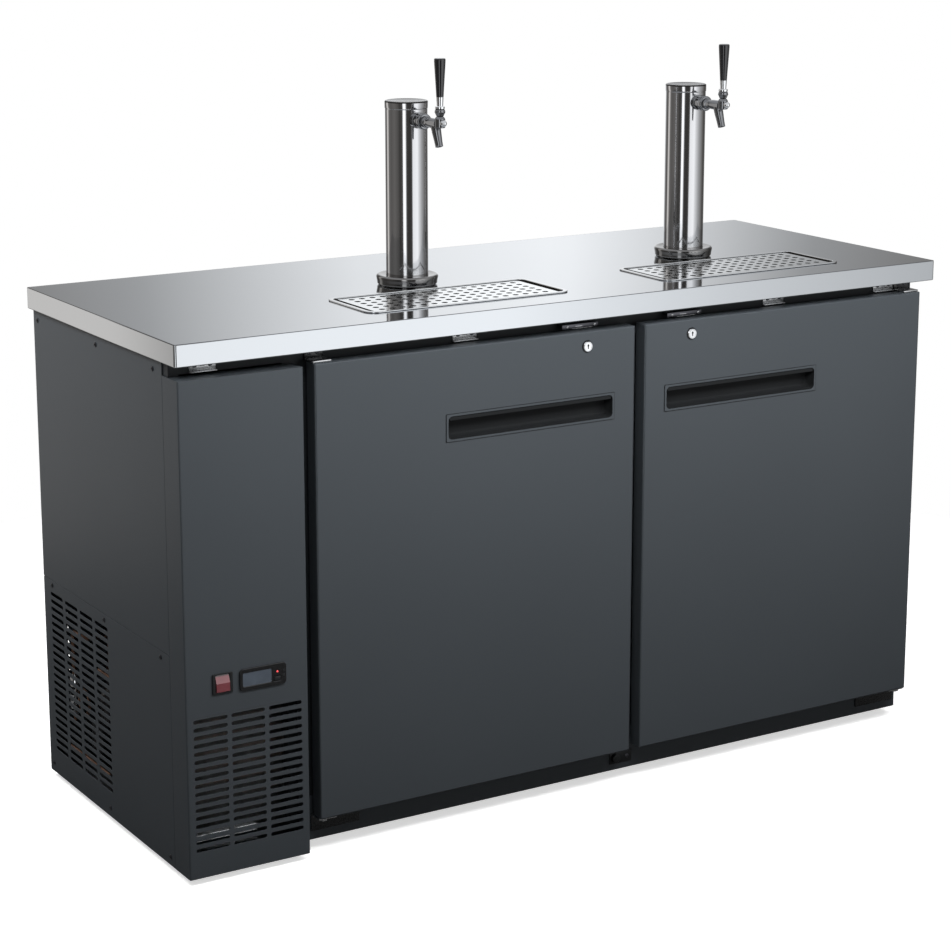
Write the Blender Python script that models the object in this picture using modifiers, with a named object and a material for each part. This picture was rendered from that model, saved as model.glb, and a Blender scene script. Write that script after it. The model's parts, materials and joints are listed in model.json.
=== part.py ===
"""Two-tap kegerator: a low insulated keg cabinet with a machine compartment at its left end.

Lengths are in metres and Z is up. The front faces -Y, X runs along the worktop, and the
origin lies on the floor under the middle of the worktop.
"""

import math

import bmesh
import bpy
from mathutils import Matrix, Vector

# Overall sizes
WORKTOP_LENGTH = 1.545
WORKTOP_DEPTH = 0.610
WORKTOP_THICKNESS = 0.037
FOOT_HEIGHT = 0.012
HOUSING_HEIGHT = 0.853
SIDE_OVERHANG = 0.0105
FRONT_OVERHANG = 0.015
REAR_OVERHANG = 0.002
MACHINE_WIDTH = 0.220
CABINET_STEP = 0.005

# Clearances
GAP = 0.0003
CUT = 0.010
RUNNING_GAP = 0.0004
SHEET = 0.0015

# Numbers of sides and steps
FINE_SIDES = 24
ROUND_SIDES = 16
SMALL_SIDES = 12
PIN_SIDES = 8
NUT_SIDES = 6
ARC_STEPS = 3
CORNER_STEPS = 2
EDGE_STEPS = 1
ALONG_SHARE = 0.999
ROUND_PROFILE_SHARE = 0.5
SMOOTH_ANGLE = math.radians(35)
MERGE_DISTANCE = 0.00001

# Worktop
WORKTOP_CORNER_RADIUS = 0.004
WORKTOP_LIP = 0.025
WORKTOP_FRONT_LIP = 0.0555
CLIP_WIDTH = 0.047
CLIP_HEIGHT = 0.021
CLIP_HINGE_GAP = 0.002
CLIP_PLACE_SHARES = (-0.908, -0.282, 0.564)
LINE_PORT_RADIUS = 0.022

# Insulated cabinet
WALL_THICKNESS = 0.055
FLOOR_THICKNESS = 0.080
ROOF_THICKNESS = 0.060
MULLION_WIDTH = 0.087
MULLION_DEPTH = 0.045

# Machine compartment
POST_RETURN = 0.0575
FRAME_BAR = 0.018
FRAME_RAIL = 0.006
PANEL_TOP_GAP = 0.025
SEAM_HEIGHT = 0.378
SEAM_GAP = 0.001
PAN_FLANGE = 0.020

# Vent slots
SLOT_HEIGHT = 0.007
FRONT_SLOT_COLUMNS = 3
FRONT_SLOT_ROWS = 17
FRONT_SLOT_PITCH = 0.0137
FRONT_SLOT_LENGTH = 0.0605
FRONT_SLOT_BRIDGE = 0.0070
FRONT_SLOT_MARGIN = 0.0125
FRONT_SLOT_TOP = 0.280
SIDE_SLOT_COLUMNS = 4
SIDE_SLOT_ROWS = 22
SIDE_SLOT_PITCH = 0.0138
SIDE_SLOT_LENGTH = 0.0555
SIDE_SLOT_BRIDGE = 0.0105
SIDE_SLOT_MARGIN = 0.030
SIDE_SLOT_TOP = 0.3525
REAR_SLOT_COLUMNS = 1
REAR_SLOT_ROWS = 6
REAR_SLOT_PITCH = 0.026
REAR_SLOT_LENGTH = 0.140
REAR_SLOT_BRIDGE = 0.012
REAR_SLOT_TOP = 0.300

# Doors
DOOR_GAP = 0.0205
DOOR_MIDDLE_GAP = 0.021
DOOR_SIDE_INSET = 0.0085
DOOR_TOP_GAP = 0.0225
DOOR_BOTTOM_GAP = 0.049
DOOR_PROJECTION = 0.0385
DOOR_EDGE_RADIUS = 0.002
LINER_FLANGE = 0.0025
LINER_INSET = 0.004
LINER_PAD_REACH = 0.006
LINER_PAD_ROUNDING = 0.0008
LINER_PAD_CLEARANCE = 0.006
GASKET_THICKNESS = 0.0056
GASKET_INSET = 0.014
GASKET_WIDTH = 0.014
HINGE_EDGE_DISTANCE = 0.012
HINGE_FACE_DISTANCE = 0.016

# Recessed door handles
CUP_LENGTH = 0.340
CUP_HEIGHT = 0.0485
CUP_DEPTH = 0.020
CUP_WALL = 0.002
CUP_FRAME = 0.003
CUP_PROUD = 0.001
CUP_CORNER_RADIUS = 0.008
CUP_EDGE_DISTANCE = 0.0425
CUP_TOP_DISTANCE = 0.112

# Door locks
LOCK_RADIUS = 0.0095
LOCK_BARREL_RADIUS = 0.0075
LOCK_PROUD = 0.003
LOCK_TOP_DISTANCE = 0.026
LOCK_EDGE_DISTANCE = 0.100
CAM_LENGTH = 0.032
CAM_WIDTH = 0.012
CAM_THICKNESS = 0.0025
CAM_ROUNDING = 0.003
CAM_POCKET_CLEARANCE = 0.0016
STRIKE_LENGTH = 0.074
STRIKE_THICKNESS = 0.002
STRIKE_CLEARANCE = 0.002
KEYWAY_WIDTH = 0.0015
KEYWAY_HEIGHT = 0.008
KEYWAY_DEPTH = 0.002

# Hinges
HINGE_PLATE = 0.003
HINGE_PIN_RADIUS = 0.004
HINGE_PIN_LENGTH = 0.012
HINGE_FLANGE_WIDTH = 0.092
HINGE_FLANGE_HEIGHT = 0.032
HINGE_TOP_FLANGE_HEIGHT = 0.018
HINGE_LEAF_WIDTH = 0.034
HINGE_LEAF_MARGIN = 0.010

# Levelling feet
FOOT_RADIUS = 0.018
FOOT_STEM_RADIUS = 0.007
FOOT_PAD_HEIGHT = 0.006
FOOT_SIDE_INSET = 0.062
FOOT_FRONT_INSET = 0.092
FOOT_REAR_INSET = 0.060

# Drip trays and grilles
TRAY_LENGTH = 0.400
TRAY_DEPTH = 0.159
TRAY_CORNER_RADIUS = 0.022
TRAY_RIM_HEIGHT = 0.002
TRAY_RIM_WIDTH = 0.007
TRAY_WALL = 0.0012
TRAY_LEDGE_DROP = 0.0034
TRAY_LEDGE_WIDTH = 0.005
TRAY_WELL_DROP = 0.022
TRAY_REAR_GAP = 0.0095
DRAIN_RADIUS = 0.009
DRAIN_BORE_RADIUS = 0.006
DRAIN_TAIL = 0.010
DRAIN_PORT_RADIUS = 0.0105
GRILLE_LENGTH = 0.362
GRILLE_THICKNESS = 0.0012
GRILLE_SIDE_GAP = 0.0015
GRILLE_CORNER_RADIUS = 0.004
GRILLE_COLUMNS = 17
GRILLE_ROWS = 6
GRILLE_COLUMN_PITCH = 0.0202
GRILLE_ROW_PITCH = 0.0209
GRILLE_HOLE = 0.0088

# Towers
TOWER_SPACING_SHARE = 0.92284
TOWER_PAIR_SHIFT = -0.006
TOWER_Y = -0.012
COLUMN_RADIUS = 0.037
COLUMN_WALL = 0.002
COLUMN_HEIGHT = 0.3075
CAP_RADIUS = 0.0378
CAP_HEIGHT = 0.0135
CAP_CHAMFER = 0.002
CAP_PLUG_DEPTH = 0.0035
FLANGE_HEIGHT = 0.018
FLANGE_FOOT_HEIGHT = 0.006
FLANGE_FOOT_RADIUS = 0.0505
FLANGE_BELLY_RADIUS = 0.0545
FLANGE_TOP_RADIUS = 0.0525
FLANGE_SHOULDER = 0.004

# Shank, with its collar and coupling nut
SHANK_CAP_CLEARANCE = 0.0018
SHANK_RADIUS = 0.0105
SHANK_TAIL = 0.012
SHANK_LOCKNUT_PLACE = 0.024
SHANK_LOCKNUT_RADIUS = 0.0125
SHANK_LOCKNUT_THICKNESS = 0.006
COLLAR_RADIUS = 0.014
COLLAR_THICKNESS = 0.008
COLLAR_ROOT = 0.030
COUPLING_RADIUS = 0.01375
COUPLING_LENGTH = 0.018
COUPLING_GROOVE = 0.0015
COUPLING_ROUNDING = 0.003

# Faucet body
NECK_RADIUS = 0.0100
NECK_WAIST_RADIUS = 0.0082
NECK_BEAD_LENGTH = 0.006
NECK_WAIST_LENGTH = 0.008
HUB_REACH = 0.114
HUB_RADIUS = 0.0092
HUB_RISE = 0.0065
HUB_DROP = 0.013
SPOUT_TOP_REACH = 0.0967
SPOUT_END_REACH = 0.1115
SPOUT_LENGTH = 0.038
SPOUT_TOP_RADIUS = 0.0086
SPOUT_END_RADIUS = 0.0066
SPOUT_BORE_RADIUS = 0.0045
SPOUT_BORE_DEPTH = 0.014
PLUG_RADIUS = 0.0058
PLUG_REACH = 0.0115
PLUG_DROP = 0.0040

# Tap levers and handles, with heights above the lever's pivot
LEVER_RIM_RADIUS = 0.0056
LEVER_FOOT_RADIUS = 0.0066
LEVER_FOOT_HEIGHT = 0.0078
LEVER_RADIUS = 0.0093
LEVER_FLARE_HEIGHT = 0.0140
LEVER_TOP_HEIGHT = 0.0183
LEVER_NECK_HEIGHT = 0.0190
FERRULE_RADIUS = 0.0082
FERRULE_TOP_HEIGHT = 0.0240
STUD_RADIUS = 0.0035
STUD_TOP_HEIGHT = 0.036
HANDLE_TOP_HEIGHT = 0.105
HANDLE_TOP_RADIUS = 0.0098
HANDLE_FOOT_RADIUS = 0.0054
HANDLE_ROUNDING = 0.0015
HANDLE_BELLY_SHARE = 0.62
HANDLE_BELLY_FULLNESS_SHARE = 0.66

# Controller and power switch
CONTROLLER_LENGTH = 0.084
CONTROLLER_HEIGHT = 0.037
CONTROLLER_PROUD = 0.003
CONTROLLER_CORNER_RADIUS = 0.005
CONTROLLER_BODY_LENGTH = 0.070
CONTROLLER_BODY_HEIGHT = 0.028
CONTROLLER_BODY_DEPTH = 0.050
CONTROLLER_X_INSET = 0.1372
CONTROLLER_Z = 0.337
WINDOW_LENGTH = 0.039
WINDOW_HEIGHT = 0.018
WINDOW_RECESS = 0.001
WINDOW_SHIFT = 0.0085
KEY_LENGTH = 0.012
KEY_HEIGHT = 0.008
KEY_PROUD = 0.0008
KEY_TRAVEL = 0.0006
KEY_DEPTH = 0.0020
KEY_SHIFT = 0.0255
KEY_DROP = 0.0075
KEY_CORNER_RADIUS = 0.0008
SWITCH_LENGTH = 0.036
SWITCH_HEIGHT = 0.0345
SWITCH_PROUD = 0.0025
SWITCH_X_INSET = 0.065
SWITCH_Z = 0.338
SWITCH_BODY_DEPTH = 0.022
SWITCH_BODY_INSET = 0.003
ROCKER_LENGTH = 0.024
ROCKER_HEIGHT = 0.028
ROCKER_CLEARANCE = 0.0007
ROCKER_TILT = math.radians(10)
ROCKER_PROUD = 0.0045
ROCKER_BACK = 0.005
ROCKER_POCKET_DEPTH = 0.010
ROCKER_BACK_HEIGHT = 0.020
ROCKER_AXLE_RADIUS = 0.0015
ROCKER_AXLE_DEPTH = 0.0015

# Condensing unit
COIL_WIDTH = 0.200
COIL_DEPTH = 0.050
COIL_HEIGHT = 0.250
COIL_FRONT_GAP = 0.030
COIL_FINS = 14
FIN_GAP_SHARE = 0.72
FIN_DEPTH_SHARE = 0.7
SHROUD_DEPTH = 0.026
SHROUD_WALL = 0.0015
FAN_RADIUS = 0.085
FAN_TIP_GAP = 0.004
FAN_HUB_RADIUS = 0.024
FAN_HUB_LENGTH = 0.022
FAN_BLADES = 5
BLADE_CHORD_SHARE = 0.62
BLADE_ROOT_SHARE = 0.4
BLADE_THICKNESS = 0.0016
BLADE_PITCH = math.radians(22)
MOTOR_RADIUS = 0.030
MOTOR_LENGTH = 0.045
MOTOR_ARM = 0.008
MOTOR_ARM_THICKNESS = 0.003
MOTOR_SHAFT_GAP = 0.0005
COMPRESSOR_RADIUS = 0.072
COMPRESSOR_HEIGHT = 0.180
COMPRESSOR_DOME = 0.045
COMPRESSOR_SEAM = 0.003
COMPRESSOR_SEAM_HEIGHT = 0.006
COMPRESSOR_PLATE_WIDTH = 0.180
COMPRESSOR_PLATE_DEPTH = 0.170
COMPRESSOR_PLATE_THICKNESS = 0.004
COMPRESSOR_FOOT_HEIGHT = 0.018
COMPRESSOR_FOOT_RADIUS = 0.012
COMPRESSOR_REAR_GAP = 0.068
TERMINAL_BOX_WIDTH = 0.050
TERMINAL_BOX_DEPTH = 0.022
TERMINAL_BOX_HEIGHT = 0.060

# Evaporator blower on the divider
BLOWER_DEPTH = 0.060
BLOWER_WIDTH = 0.300
BLOWER_HEIGHT = 0.450
BLOWER_REAR_GAP = 0.038
BLOWER_RISE = 0.198
BLOWER_FAN_RADIUS = 0.058
BLOWER_FAN_DROP = 0.095
BLOWER_HUB_RADIUS = 0.018
BLOWER_HUB_LENGTH = 0.016
BLOWER_MOTOR_RADIUS = 0.020
BLOWER_MOTOR_LENGTH = 0.022
BLOWER_FAN_BLADES = 4
BLOWER_SLOTS = 6
BLOWER_SLOT_PITCH = 0.018
BLOWER_SLOT_LENGTH = 0.220
BLOWER_SLOT_RISE = 0.030
EVAPORATOR_HEIGHT = 0.230
EVAPORATOR_DEPTH = 0.040
EVAPORATOR_SIDE_GAP = 0.020
EVAPORATOR_FINS = 10

# Places worked out from the sizes above
worktop_right = WORKTOP_LENGTH / 2
worktop_left = -worktop_right
worktop_rear = WORKTOP_DEPTH / 2
worktop_front = -worktop_rear
housing_bottom = FOOT_HEIGHT
cabinet_bottom = housing_bottom + CABINET_STEP
worktop_underside = housing_bottom + HOUSING_HEIGHT
worktop_top = worktop_underside + WORKTOP_THICKNESS
cabinet_right = worktop_right - SIDE_OVERHANG
cabinet_left = worktop_left + SIDE_OVERHANG
cabinet_rear = worktop_rear - REAR_OVERHANG
machine_right = cabinet_left + MACHINE_WIDTH
door_face = worktop_front + FRONT_OVERHANG
frame_plane = door_face + DOOR_PROJECTION
wall_top = worktop_underside - GAP
floor_top = cabinet_bottom + FLOOR_THICKNESS
roof_bottom = wall_top - ROOF_THICKNESS
door_top = worktop_underside - DOOR_TOP_GAP
door_bottom = cabinet_bottom + DOOR_BOTTOM_GAP
left_door_left = machine_right + DOOR_GAP
right_door_right = cabinet_right - DOOR_SIDE_INSET
door_width = (right_door_right - left_door_left - DOOR_MIDDLE_GAP) / 2
mullion_x = left_door_left + door_width + DOOR_MIDDLE_GAP / 2
gasket_front = frame_plane - GAP - GASKET_THICKNESS
liner_front = gasket_front - GAP - LINER_FLANGE
panel_back = liner_front - GAP
hinge_y = door_face + HINGE_FACE_DISTANCE
lock_z = door_top - LOCK_TOP_DISTANCE
tower_middle = mullion_x + TOWER_PAIR_SHIFT
tower_spacing = (door_width + DOOR_MIDDLE_GAP) * TOWER_SPACING_SHARE
machine_middle = (cabinet_left + machine_right) / 2
compressor_y = cabinet_rear - COMPRESSOR_REAR_GAP - COMPRESSOR_PLATE_DEPTH / 2
blower_y = cabinet_rear - WALL_THICKNESS - BLOWER_REAR_GAP - BLOWER_WIDTH / 2
blower_bottom = floor_top + BLOWER_RISE


def clear_scene():
    """Removes whatever the scene holds."""
    for obj in list(bpy.data.objects):
        bpy.data.objects.remove(obj)


def new_collection(name):
    """A new collection under the scene's own."""
    collection = bpy.data.collections.new(name)
    bpy.context.scene.collection.children.link(collection)
    return collection


def new_material(name, colour, roughness, metallic):
    """A Principled material with one colour."""
    material = bpy.data.materials.new(name)
    material.use_nodes = True
    shader = material.node_tree.nodes["Principled BSDF"]
    shader.inputs["Base Color"].default_value = (*colour, 1.0)
    shader.inputs["Roughness"].default_value = roughness
    shader.inputs["Metallic"].default_value = metallic
    return material


clear_scene()
parts = new_collection("kegerator")
cutters = new_collection("kegerator_cutters")
stainless = new_material("stainless", (0.62, 0.64, 0.65), 0.22, 1.0)
polished = new_material("polished_steel", (0.55, 0.56, 0.58), 0.08, 1.0)
black_steel = new_material("black_coated_steel", (0.035, 0.040, 0.043), 0.45, 0.0)
black_plastic = new_material("black_plastic", (0.012, 0.012, 0.013), 0.35, 0.0)
gloss_black = new_material("gloss_black_plastic", (0.008, 0.008, 0.009), 0.12, 0.0)
white_liner = new_material("white_liner", (0.72, 0.73, 0.73), 0.5, 0.0)
grey_rubber = new_material("gasket_rubber", (0.045, 0.045, 0.048), 0.7, 0.0)
red_plastic = new_material("red_rocker_plastic", (0.42, 0.020, 0.018), 0.2, 0.0)
aluminium = new_material("fin_aluminium", (0.60, 0.61, 0.62), 0.35, 1.0)
galvanised = new_material("galvanised_steel", (0.42, 0.43, 0.44), 0.45, 1.0)
machine_black = new_material("compressor_paint", (0.015, 0.015, 0.016), 0.3, 0.0)


def add_part(name, bm, material, origin=(0, 0, 0)):
    """A part whose mesh is given in world places, with its origin moved to a point."""
    bmesh.ops.translate(bm, verts=bm.verts, vec=-Vector(origin))
    return link_mesh(name, bm, parts, material, origin)


def add_cutter(name, bm, origin=(0, 0, 0)):
    """A helper that is cut from a part or joined to it, and is not a part itself."""
    cutter = link_mesh(name, bm, cutters, None, origin)
    return as_helper(cutter)


def as_helper(obj):
    """Hides an object from renders and draws it as a wire."""
    obj.hide_render = True
    obj.display_type = "WIRE"
    return obj


def link_mesh(name, bm, collection, material, origin):
    """An object made from a bmesh, which is freed."""
    mesh = bpy.data.meshes.new(name)
    bm.to_mesh(mesh)
    bm.free()
    if material:
        mesh.materials.append(material)
    obj = bpy.data.objects.new(name, mesh)
    obj.location = origin
    collection.objects.link(obj)
    return obj


def add_box(bm, low, high):
    """Adds a box between two corners."""
    size = Vector(high) - Vector(low)
    middle = (Vector(high) + Vector(low)) / 2
    place = Matrix.Translation(middle) @ Matrix.Diagonal((*size, 1.0))
    bmesh.ops.create_cube(bm, size=1.0, matrix=place)


def box_mesh(*corners):
    """A bmesh of boxes, each given by its low and high corner."""
    bm = bmesh.new()
    for low, high in corners:
        add_box(bm, low, high)
    return bm


def add_rod(bm, start, end, radius, end_radius=None, sides=SMALL_SIDES):
    """Adds a cylinder or cone between two points."""
    line = Vector(end) - Vector(start)
    turn = line.to_track_quat("Z", "Y").to_matrix().to_4x4()
    place = Matrix.Translation((Vector(start) + Vector(end)) / 2) @ turn
    last = radius if end_radius is None else end_radius
    bmesh.ops.create_cone(
        bm, cap_ends=True, segments=sides, radius1=radius, radius2=last, depth=line.length, matrix=place
    )


def rod_mesh(start, end, radius, end_radius=None, sides=SMALL_SIDES):
    """A bmesh of one cylinder or cone."""
    bm = bmesh.new()
    add_rod(bm, start, end, radius, end_radius, sides)
    return bm


def edges_along(bm, axis):
    """Edges that run along X, Y or Z, given as 0, 1 or 2."""
    found = []
    for edge in bm.edges:
        line = (edge.verts[1].co - edge.verts[0].co).normalized()
        if abs(line[axis]) > ALONG_SHARE:
            found.append(edge)
    return found


def rounded_box(low, high, radius, axis, steps=CORNER_STEPS):
    """A bmesh of a box whose edges along one axis are rounded."""
    bm = box_mesh((low, high))
    bmesh.ops.bevel(
        bm,
        geom=edges_along(bm, axis),
        offset=radius,
        segments=steps,
        profile=ROUND_PROFILE_SHARE,
        affect="EDGES",
    )
    return bm


def soft_box(low, high, radius):
    """A bmesh of a box whose edges are all rounded."""
    bm = box_mesh((low, high))
    bmesh.ops.bevel(
        bm,
        geom=list(bm.edges),
        offset=radius,
        segments=EDGE_STEPS,
        profile=ROUND_PROFILE_SHARE,
        affect="EDGES",
    )
    return bm


def slab(middle, length, depth, bottom, top):
    """Low and high corners of an upright box about a point in plan."""
    x, y = middle
    return (x - length / 2, y - depth / 2, bottom), (x + length / 2, y + depth / 2, top)


def change(obj, helper, operation):
    """Adds a Boolean of one helper to an object."""
    modifier = obj.modifiers.new(helper.name, "BOOLEAN")
    modifier.operation = operation
    modifier.object = helper


def cut(obj, bm, label):
    """Cuts a shape from an object."""
    change(obj, add_cutter(f"{obj.name}_{label}", bm), "DIFFERENCE")


def join(obj, bm, label):
    """Joins a shape to an object."""
    change(obj, add_cutter(f"{obj.name}_{label}", bm), "UNION")


def profile_mesh(points, closed):
    """A bmesh of a profile in the XZ plane, as edges for a Screw modifier."""
    bm = bmesh.new()
    verts = [bm.verts.new((radius, 0, height)) for radius, height in points]
    for first, second in zip(verts, verts[1:]):
        bm.edges.new((first, second))
    if closed:
        bm.edges.new((verts[-1], verts[0]))
    return bm


def turn_profile(obj, sides):
    """Turns an object's profile about its own Z axis."""
    screw = obj.modifiers.new("turned", "SCREW")
    screw.steps = sides
    screw.render_steps = sides
    screw.use_merge_vertices = True
    screw.merge_threshold = MERGE_DISTANCE
    screw.use_smooth_shade = True
    return obj


def turned_part(name, points, material, origin, sides=ROUND_SIDES, closed=False):
    """A turned part; its profile runs down the outer side."""
    obj = link_mesh(name, profile_mesh(points, closed), parts, material, origin)
    return turn_profile(obj, sides)


def turned_helper(name, points, origin, sides=SMALL_SIDES, closed=False):
    """A turned shape that is joined to a part or cut from it."""
    obj = as_helper(link_mesh(name, profile_mesh(points, closed), cutters, None, origin))
    return turn_profile(obj, sides)


def smooth(obj):
    """Shades the round faces of a part made without a Screw modifier smooth."""
    obj.data.shade_smooth()
    obj.data.set_sharp_from_angle(angle=SMOOTH_ANGLE)
    return obj


def slot_grid(start, step_axis, columns, rows, length, bridge, pitch, depth_range):
    """Boxes for rows of level slots; start is the first column's low end and the top row's middle."""
    bm = bmesh.new()
    along = Vector((1, 0, 0)) if step_axis == 0 else Vector((0, 1, 0))
    through = Vector((0, 1, 0)) if step_axis == 0 else Vector((1, 0, 0))
    for column in range(columns):
        for row in range(rows):
            place = Vector(start) + along * column * (length + bridge)
            place.z -= row * pitch
            low = place + through * depth_range[0] - Vector((0, 0, SLOT_HEIGHT / 2))
            high = place + along * length + through * depth_range[1] + Vector((0, 0, SLOT_HEIGHT / 2))
            add_box(bm, low, high)
    return bm


def make_worktop():
    """Folded stainless worktop with turned-in lips, tray cut-outs, line ports and front clips."""
    top = add_part(
        "worktop",
        rounded_box(
            (worktop_left, worktop_front, worktop_underside),
            (worktop_right, worktop_rear, worktop_top),
            WORKTOP_CORNER_RADIUS,
            2,
            EDGE_STEPS,
        ),
        stainless,
    )
    hollow = box_mesh(
        (
            (worktop_left + SHEET, worktop_front + SHEET, worktop_underside + SHEET),
            (worktop_right - SHEET, worktop_rear - SHEET, worktop_top - SHEET),
        )
    )
    cut(top, hollow, "hollow")
    mouth = box_mesh(
        (
            (worktop_left + WORKTOP_LIP, worktop_front + WORKTOP_FRONT_LIP, worktop_underside - CUT),
            (worktop_right - WORKTOP_LIP, worktop_rear - WORKTOP_LIP, worktop_underside + 2 * SHEET),
        )
    )
    cut(top, mouth, "mouth")
    for side in (-1, 1):
        tray_x, tray_y = tray_middle(side)
        length = TRAY_LENGTH - 2 * TRAY_RIM_WIDTH + 2 * GAP
        depth = TRAY_DEPTH - 2 * TRAY_RIM_WIDTH + 2 * GAP
        low, high = slab((tray_x, tray_y), length, depth, worktop_top - SHEET - CUT, worktop_top + CUT)
        cut(top, rounded_box(low, high, tray_inner_radius(), 2), f"tray_{side_name(side)}")
        port = rod_mesh(
            (tower_x(side), TOWER_Y, worktop_top - SHEET - CUT),
            (tower_x(side), TOWER_Y, worktop_top + CUT),
            LINE_PORT_RADIUS,
            sides=ROUND_SIDES,
        )
        cut(top, port, f"port_{side_name(side)}")
    clip_back = frame_plane - GAP
    clip_places = [share * worktop_right for share in CLIP_PLACE_SHARES]
    clip_places.append(right_door_right - HINGE_LEAF_WIDTH - CLIP_HINGE_GAP - CLIP_WIDTH / 2)
    for number, middle in enumerate(clip_places):
        clip = box_mesh(
            (
                (middle - CLIP_WIDTH / 2, clip_back - SHEET, worktop_underside - CLIP_HEIGHT),
                (middle + CLIP_WIDTH / 2, clip_back, worktop_underside + SHEET / 2),
            )
        )
        join(top, clip, f"clip_{number}")


def side_name(side):
    """The word for a side, -1 for left and 1 for right."""
    return "left" if side < 0 else "right"


def tower_x(side):
    """Where a tower stands along the worktop."""
    return tower_middle + side * tower_spacing / 2


def tray_middle(side):
    """The middle of a drip tray in plan; the tray lies in front of its tower's flange."""
    rear_edge = TOWER_Y - FLANGE_BELLY_RADIUS - TRAY_REAR_GAP
    return tower_x(side), rear_edge - TRAY_DEPTH / 2


def tray_inner_radius():
    """Corner radius of the tray's wall under its rim."""
    return TRAY_CORNER_RADIUS - TRAY_RIM_WIDTH


def make_cabinet():
    """Foamed walls of the keg cabinet, each a separate slab, and the post between the doors."""
    inner_floor = floor_top + GAP
    inner_roof = roof_bottom - GAP
    add_part(
        "cabinet_floor",
        soft_box(
            (machine_right, frame_plane, cabinet_bottom),
            (cabinet_right, cabinet_rear, floor_top),
            SHEET,
        ),
        black_steel,
    )
    roof = add_part(
        "cabinet_roof",
        box_mesh(((machine_right, frame_plane, roof_bottom), (cabinet_right, cabinet_rear, wall_top))),
        black_steel,
    )
    for side in (-1, 1):
        tray_x, tray_y = tray_middle(side)
        ports = bmesh.new()
        add_rod(
            ports,
            (tower_x(side), TOWER_Y, roof_bottom - CUT),
            (tower_x(side), TOWER_Y, wall_top + CUT),
            LINE_PORT_RADIUS,
            sides=ROUND_SIDES,
        )
        add_rod(
            ports,
            (tray_x, tray_y, roof_bottom - CUT),
            (tray_x, tray_y, wall_top + CUT),
            DRAIN_PORT_RADIUS,
            sides=PIN_SIDES,
        )
        cut(roof, ports, f"ports_{side_name(side)}")
        add_strike(roof, side)
    back_front = cabinet_rear - WALL_THICKNESS
    add_part(
        "back_wall",
        box_mesh(((machine_right, back_front, inner_floor), (cabinet_right, cabinet_rear, inner_roof))),
        black_steel,
    )
    add_part(
        "right_wall",
        box_mesh(
            (
                (cabinet_right - WALL_THICKNESS, frame_plane, inner_floor),
                (cabinet_right, back_front - GAP, inner_roof),
            )
        ),
        black_steel,
    )
    add_part(
        "divider_wall",
        box_mesh(
            (
                (machine_right, frame_plane, inner_floor),
                (machine_right + WALL_THICKNESS, back_front - GAP, inner_roof),
            )
        ),
        black_steel,
    )
    add_part(
        "centre_mullion",
        rounded_box(
            (mullion_x - MULLION_WIDTH / 2, frame_plane, inner_floor),
            (mullion_x + MULLION_WIDTH / 2, frame_plane + MULLION_DEPTH, inner_roof),
            DOOR_EDGE_RADIUS,
            2,
            EDGE_STEPS,
        ),
        black_steel,
    )


def add_strike(roof, side):
    """Lock strike: a level leaf with a turned-down lip that the lock's cam goes behind."""
    x = lock_place(side)
    leaf_bottom = lock_z + CAM_LENGTH + STRIKE_CLEARANCE
    leaf_top = leaf_bottom + STRIKE_THICKNESS
    lip_back = panel_back - CAM_THICKNESS - STRIKE_CLEARANCE
    lip_front = lip_back - STRIKE_THICKNESS
    low_x = x - STRIKE_LENGTH / 2
    high_x = x + STRIKE_LENGTH / 2
    leaf = box_mesh(((low_x, lip_front, leaf_bottom), (high_x, frame_plane + STRIKE_THICKNESS, leaf_top)))
    join(roof, leaf, f"strike_{side_name(side)}")
    lip = box_mesh(((low_x, lip_front, door_top + STRIKE_CLEARANCE), (high_x, lip_back, leaf_top)))
    join(roof, lip, f"strike_lip_{side_name(side)}")


def make_machine_frame():
    """Bar frame that carries the panels round the machine compartment."""
    left = cabinet_left + SHEET + GAP
    right = machine_right - GAP
    front = frame_plane
    rear = cabinet_rear - SHEET - GAP
    bottom = housing_bottom + SHEET + GAP
    band_bottom = door_top
    block = box_mesh(((left, front, bottom), (right, rear, wall_top)))
    frame = add_part("machine_frame", block, black_steel)
    inner_front = front + FRAME_BAR
    inner_rear = rear - FRAME_BAR
    rail = left + FRAME_RAIL
    under = bottom - CUT
    room = box_mesh(((rail, inner_front, under), (right + CUT, inner_rear, wall_top + CUT)))
    cut(frame, room, "room")
    ends = box_mesh(((left + FRAME_BAR, front - CUT, under), (right - FRAME_BAR, rear + CUT, band_bottom)))
    cut(frame, ends, "ends")
    seam = SEAM_HEIGHT + SEAM_GAP / 2
    openings = (
        ("side_low", under, seam - FRAME_BAR / 2),
        ("side_high", seam + FRAME_BAR / 2, band_bottom),
    )
    for label, low, high in openings:
        opening = box_mesh(((left - CUT, inner_front, low), (rail + CUT, inner_rear, high)))
        cut(frame, opening, label)


def make_side_panels():
    """Plain upper panel and slotted lower panel on the left end."""
    front = door_face + POST_RETURN + GAP
    inner = cabinet_left + SHEET
    add_part(
        "upper_side_panel",
        box_mesh(((cabinet_left, front, SEAM_HEIGHT + SEAM_GAP), (inner, cabinet_rear, wall_top))),
        black_steel,
    )
    lower = add_part(
        "side_vent_panel",
        box_mesh(((cabinet_left, front, housing_bottom), (inner, cabinet_rear, SEAM_HEIGHT))),
        black_steel,
    )
    run = SIDE_SLOT_COLUMNS * (SIDE_SLOT_LENGTH + SIDE_SLOT_BRIDGE) - SIDE_SLOT_BRIDGE
    start = (cabinet_left, cabinet_rear - SIDE_SLOT_MARGIN - run, SIDE_SLOT_TOP)
    slots = slot_grid(
        start,
        1,
        SIDE_SLOT_COLUMNS,
        SIDE_SLOT_ROWS,
        SIDE_SLOT_LENGTH,
        SIDE_SLOT_BRIDGE,
        SIDE_SLOT_PITCH,
        (-CUT, SHEET + CUT),
    )
    cut(lower, slots, "slots")


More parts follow.
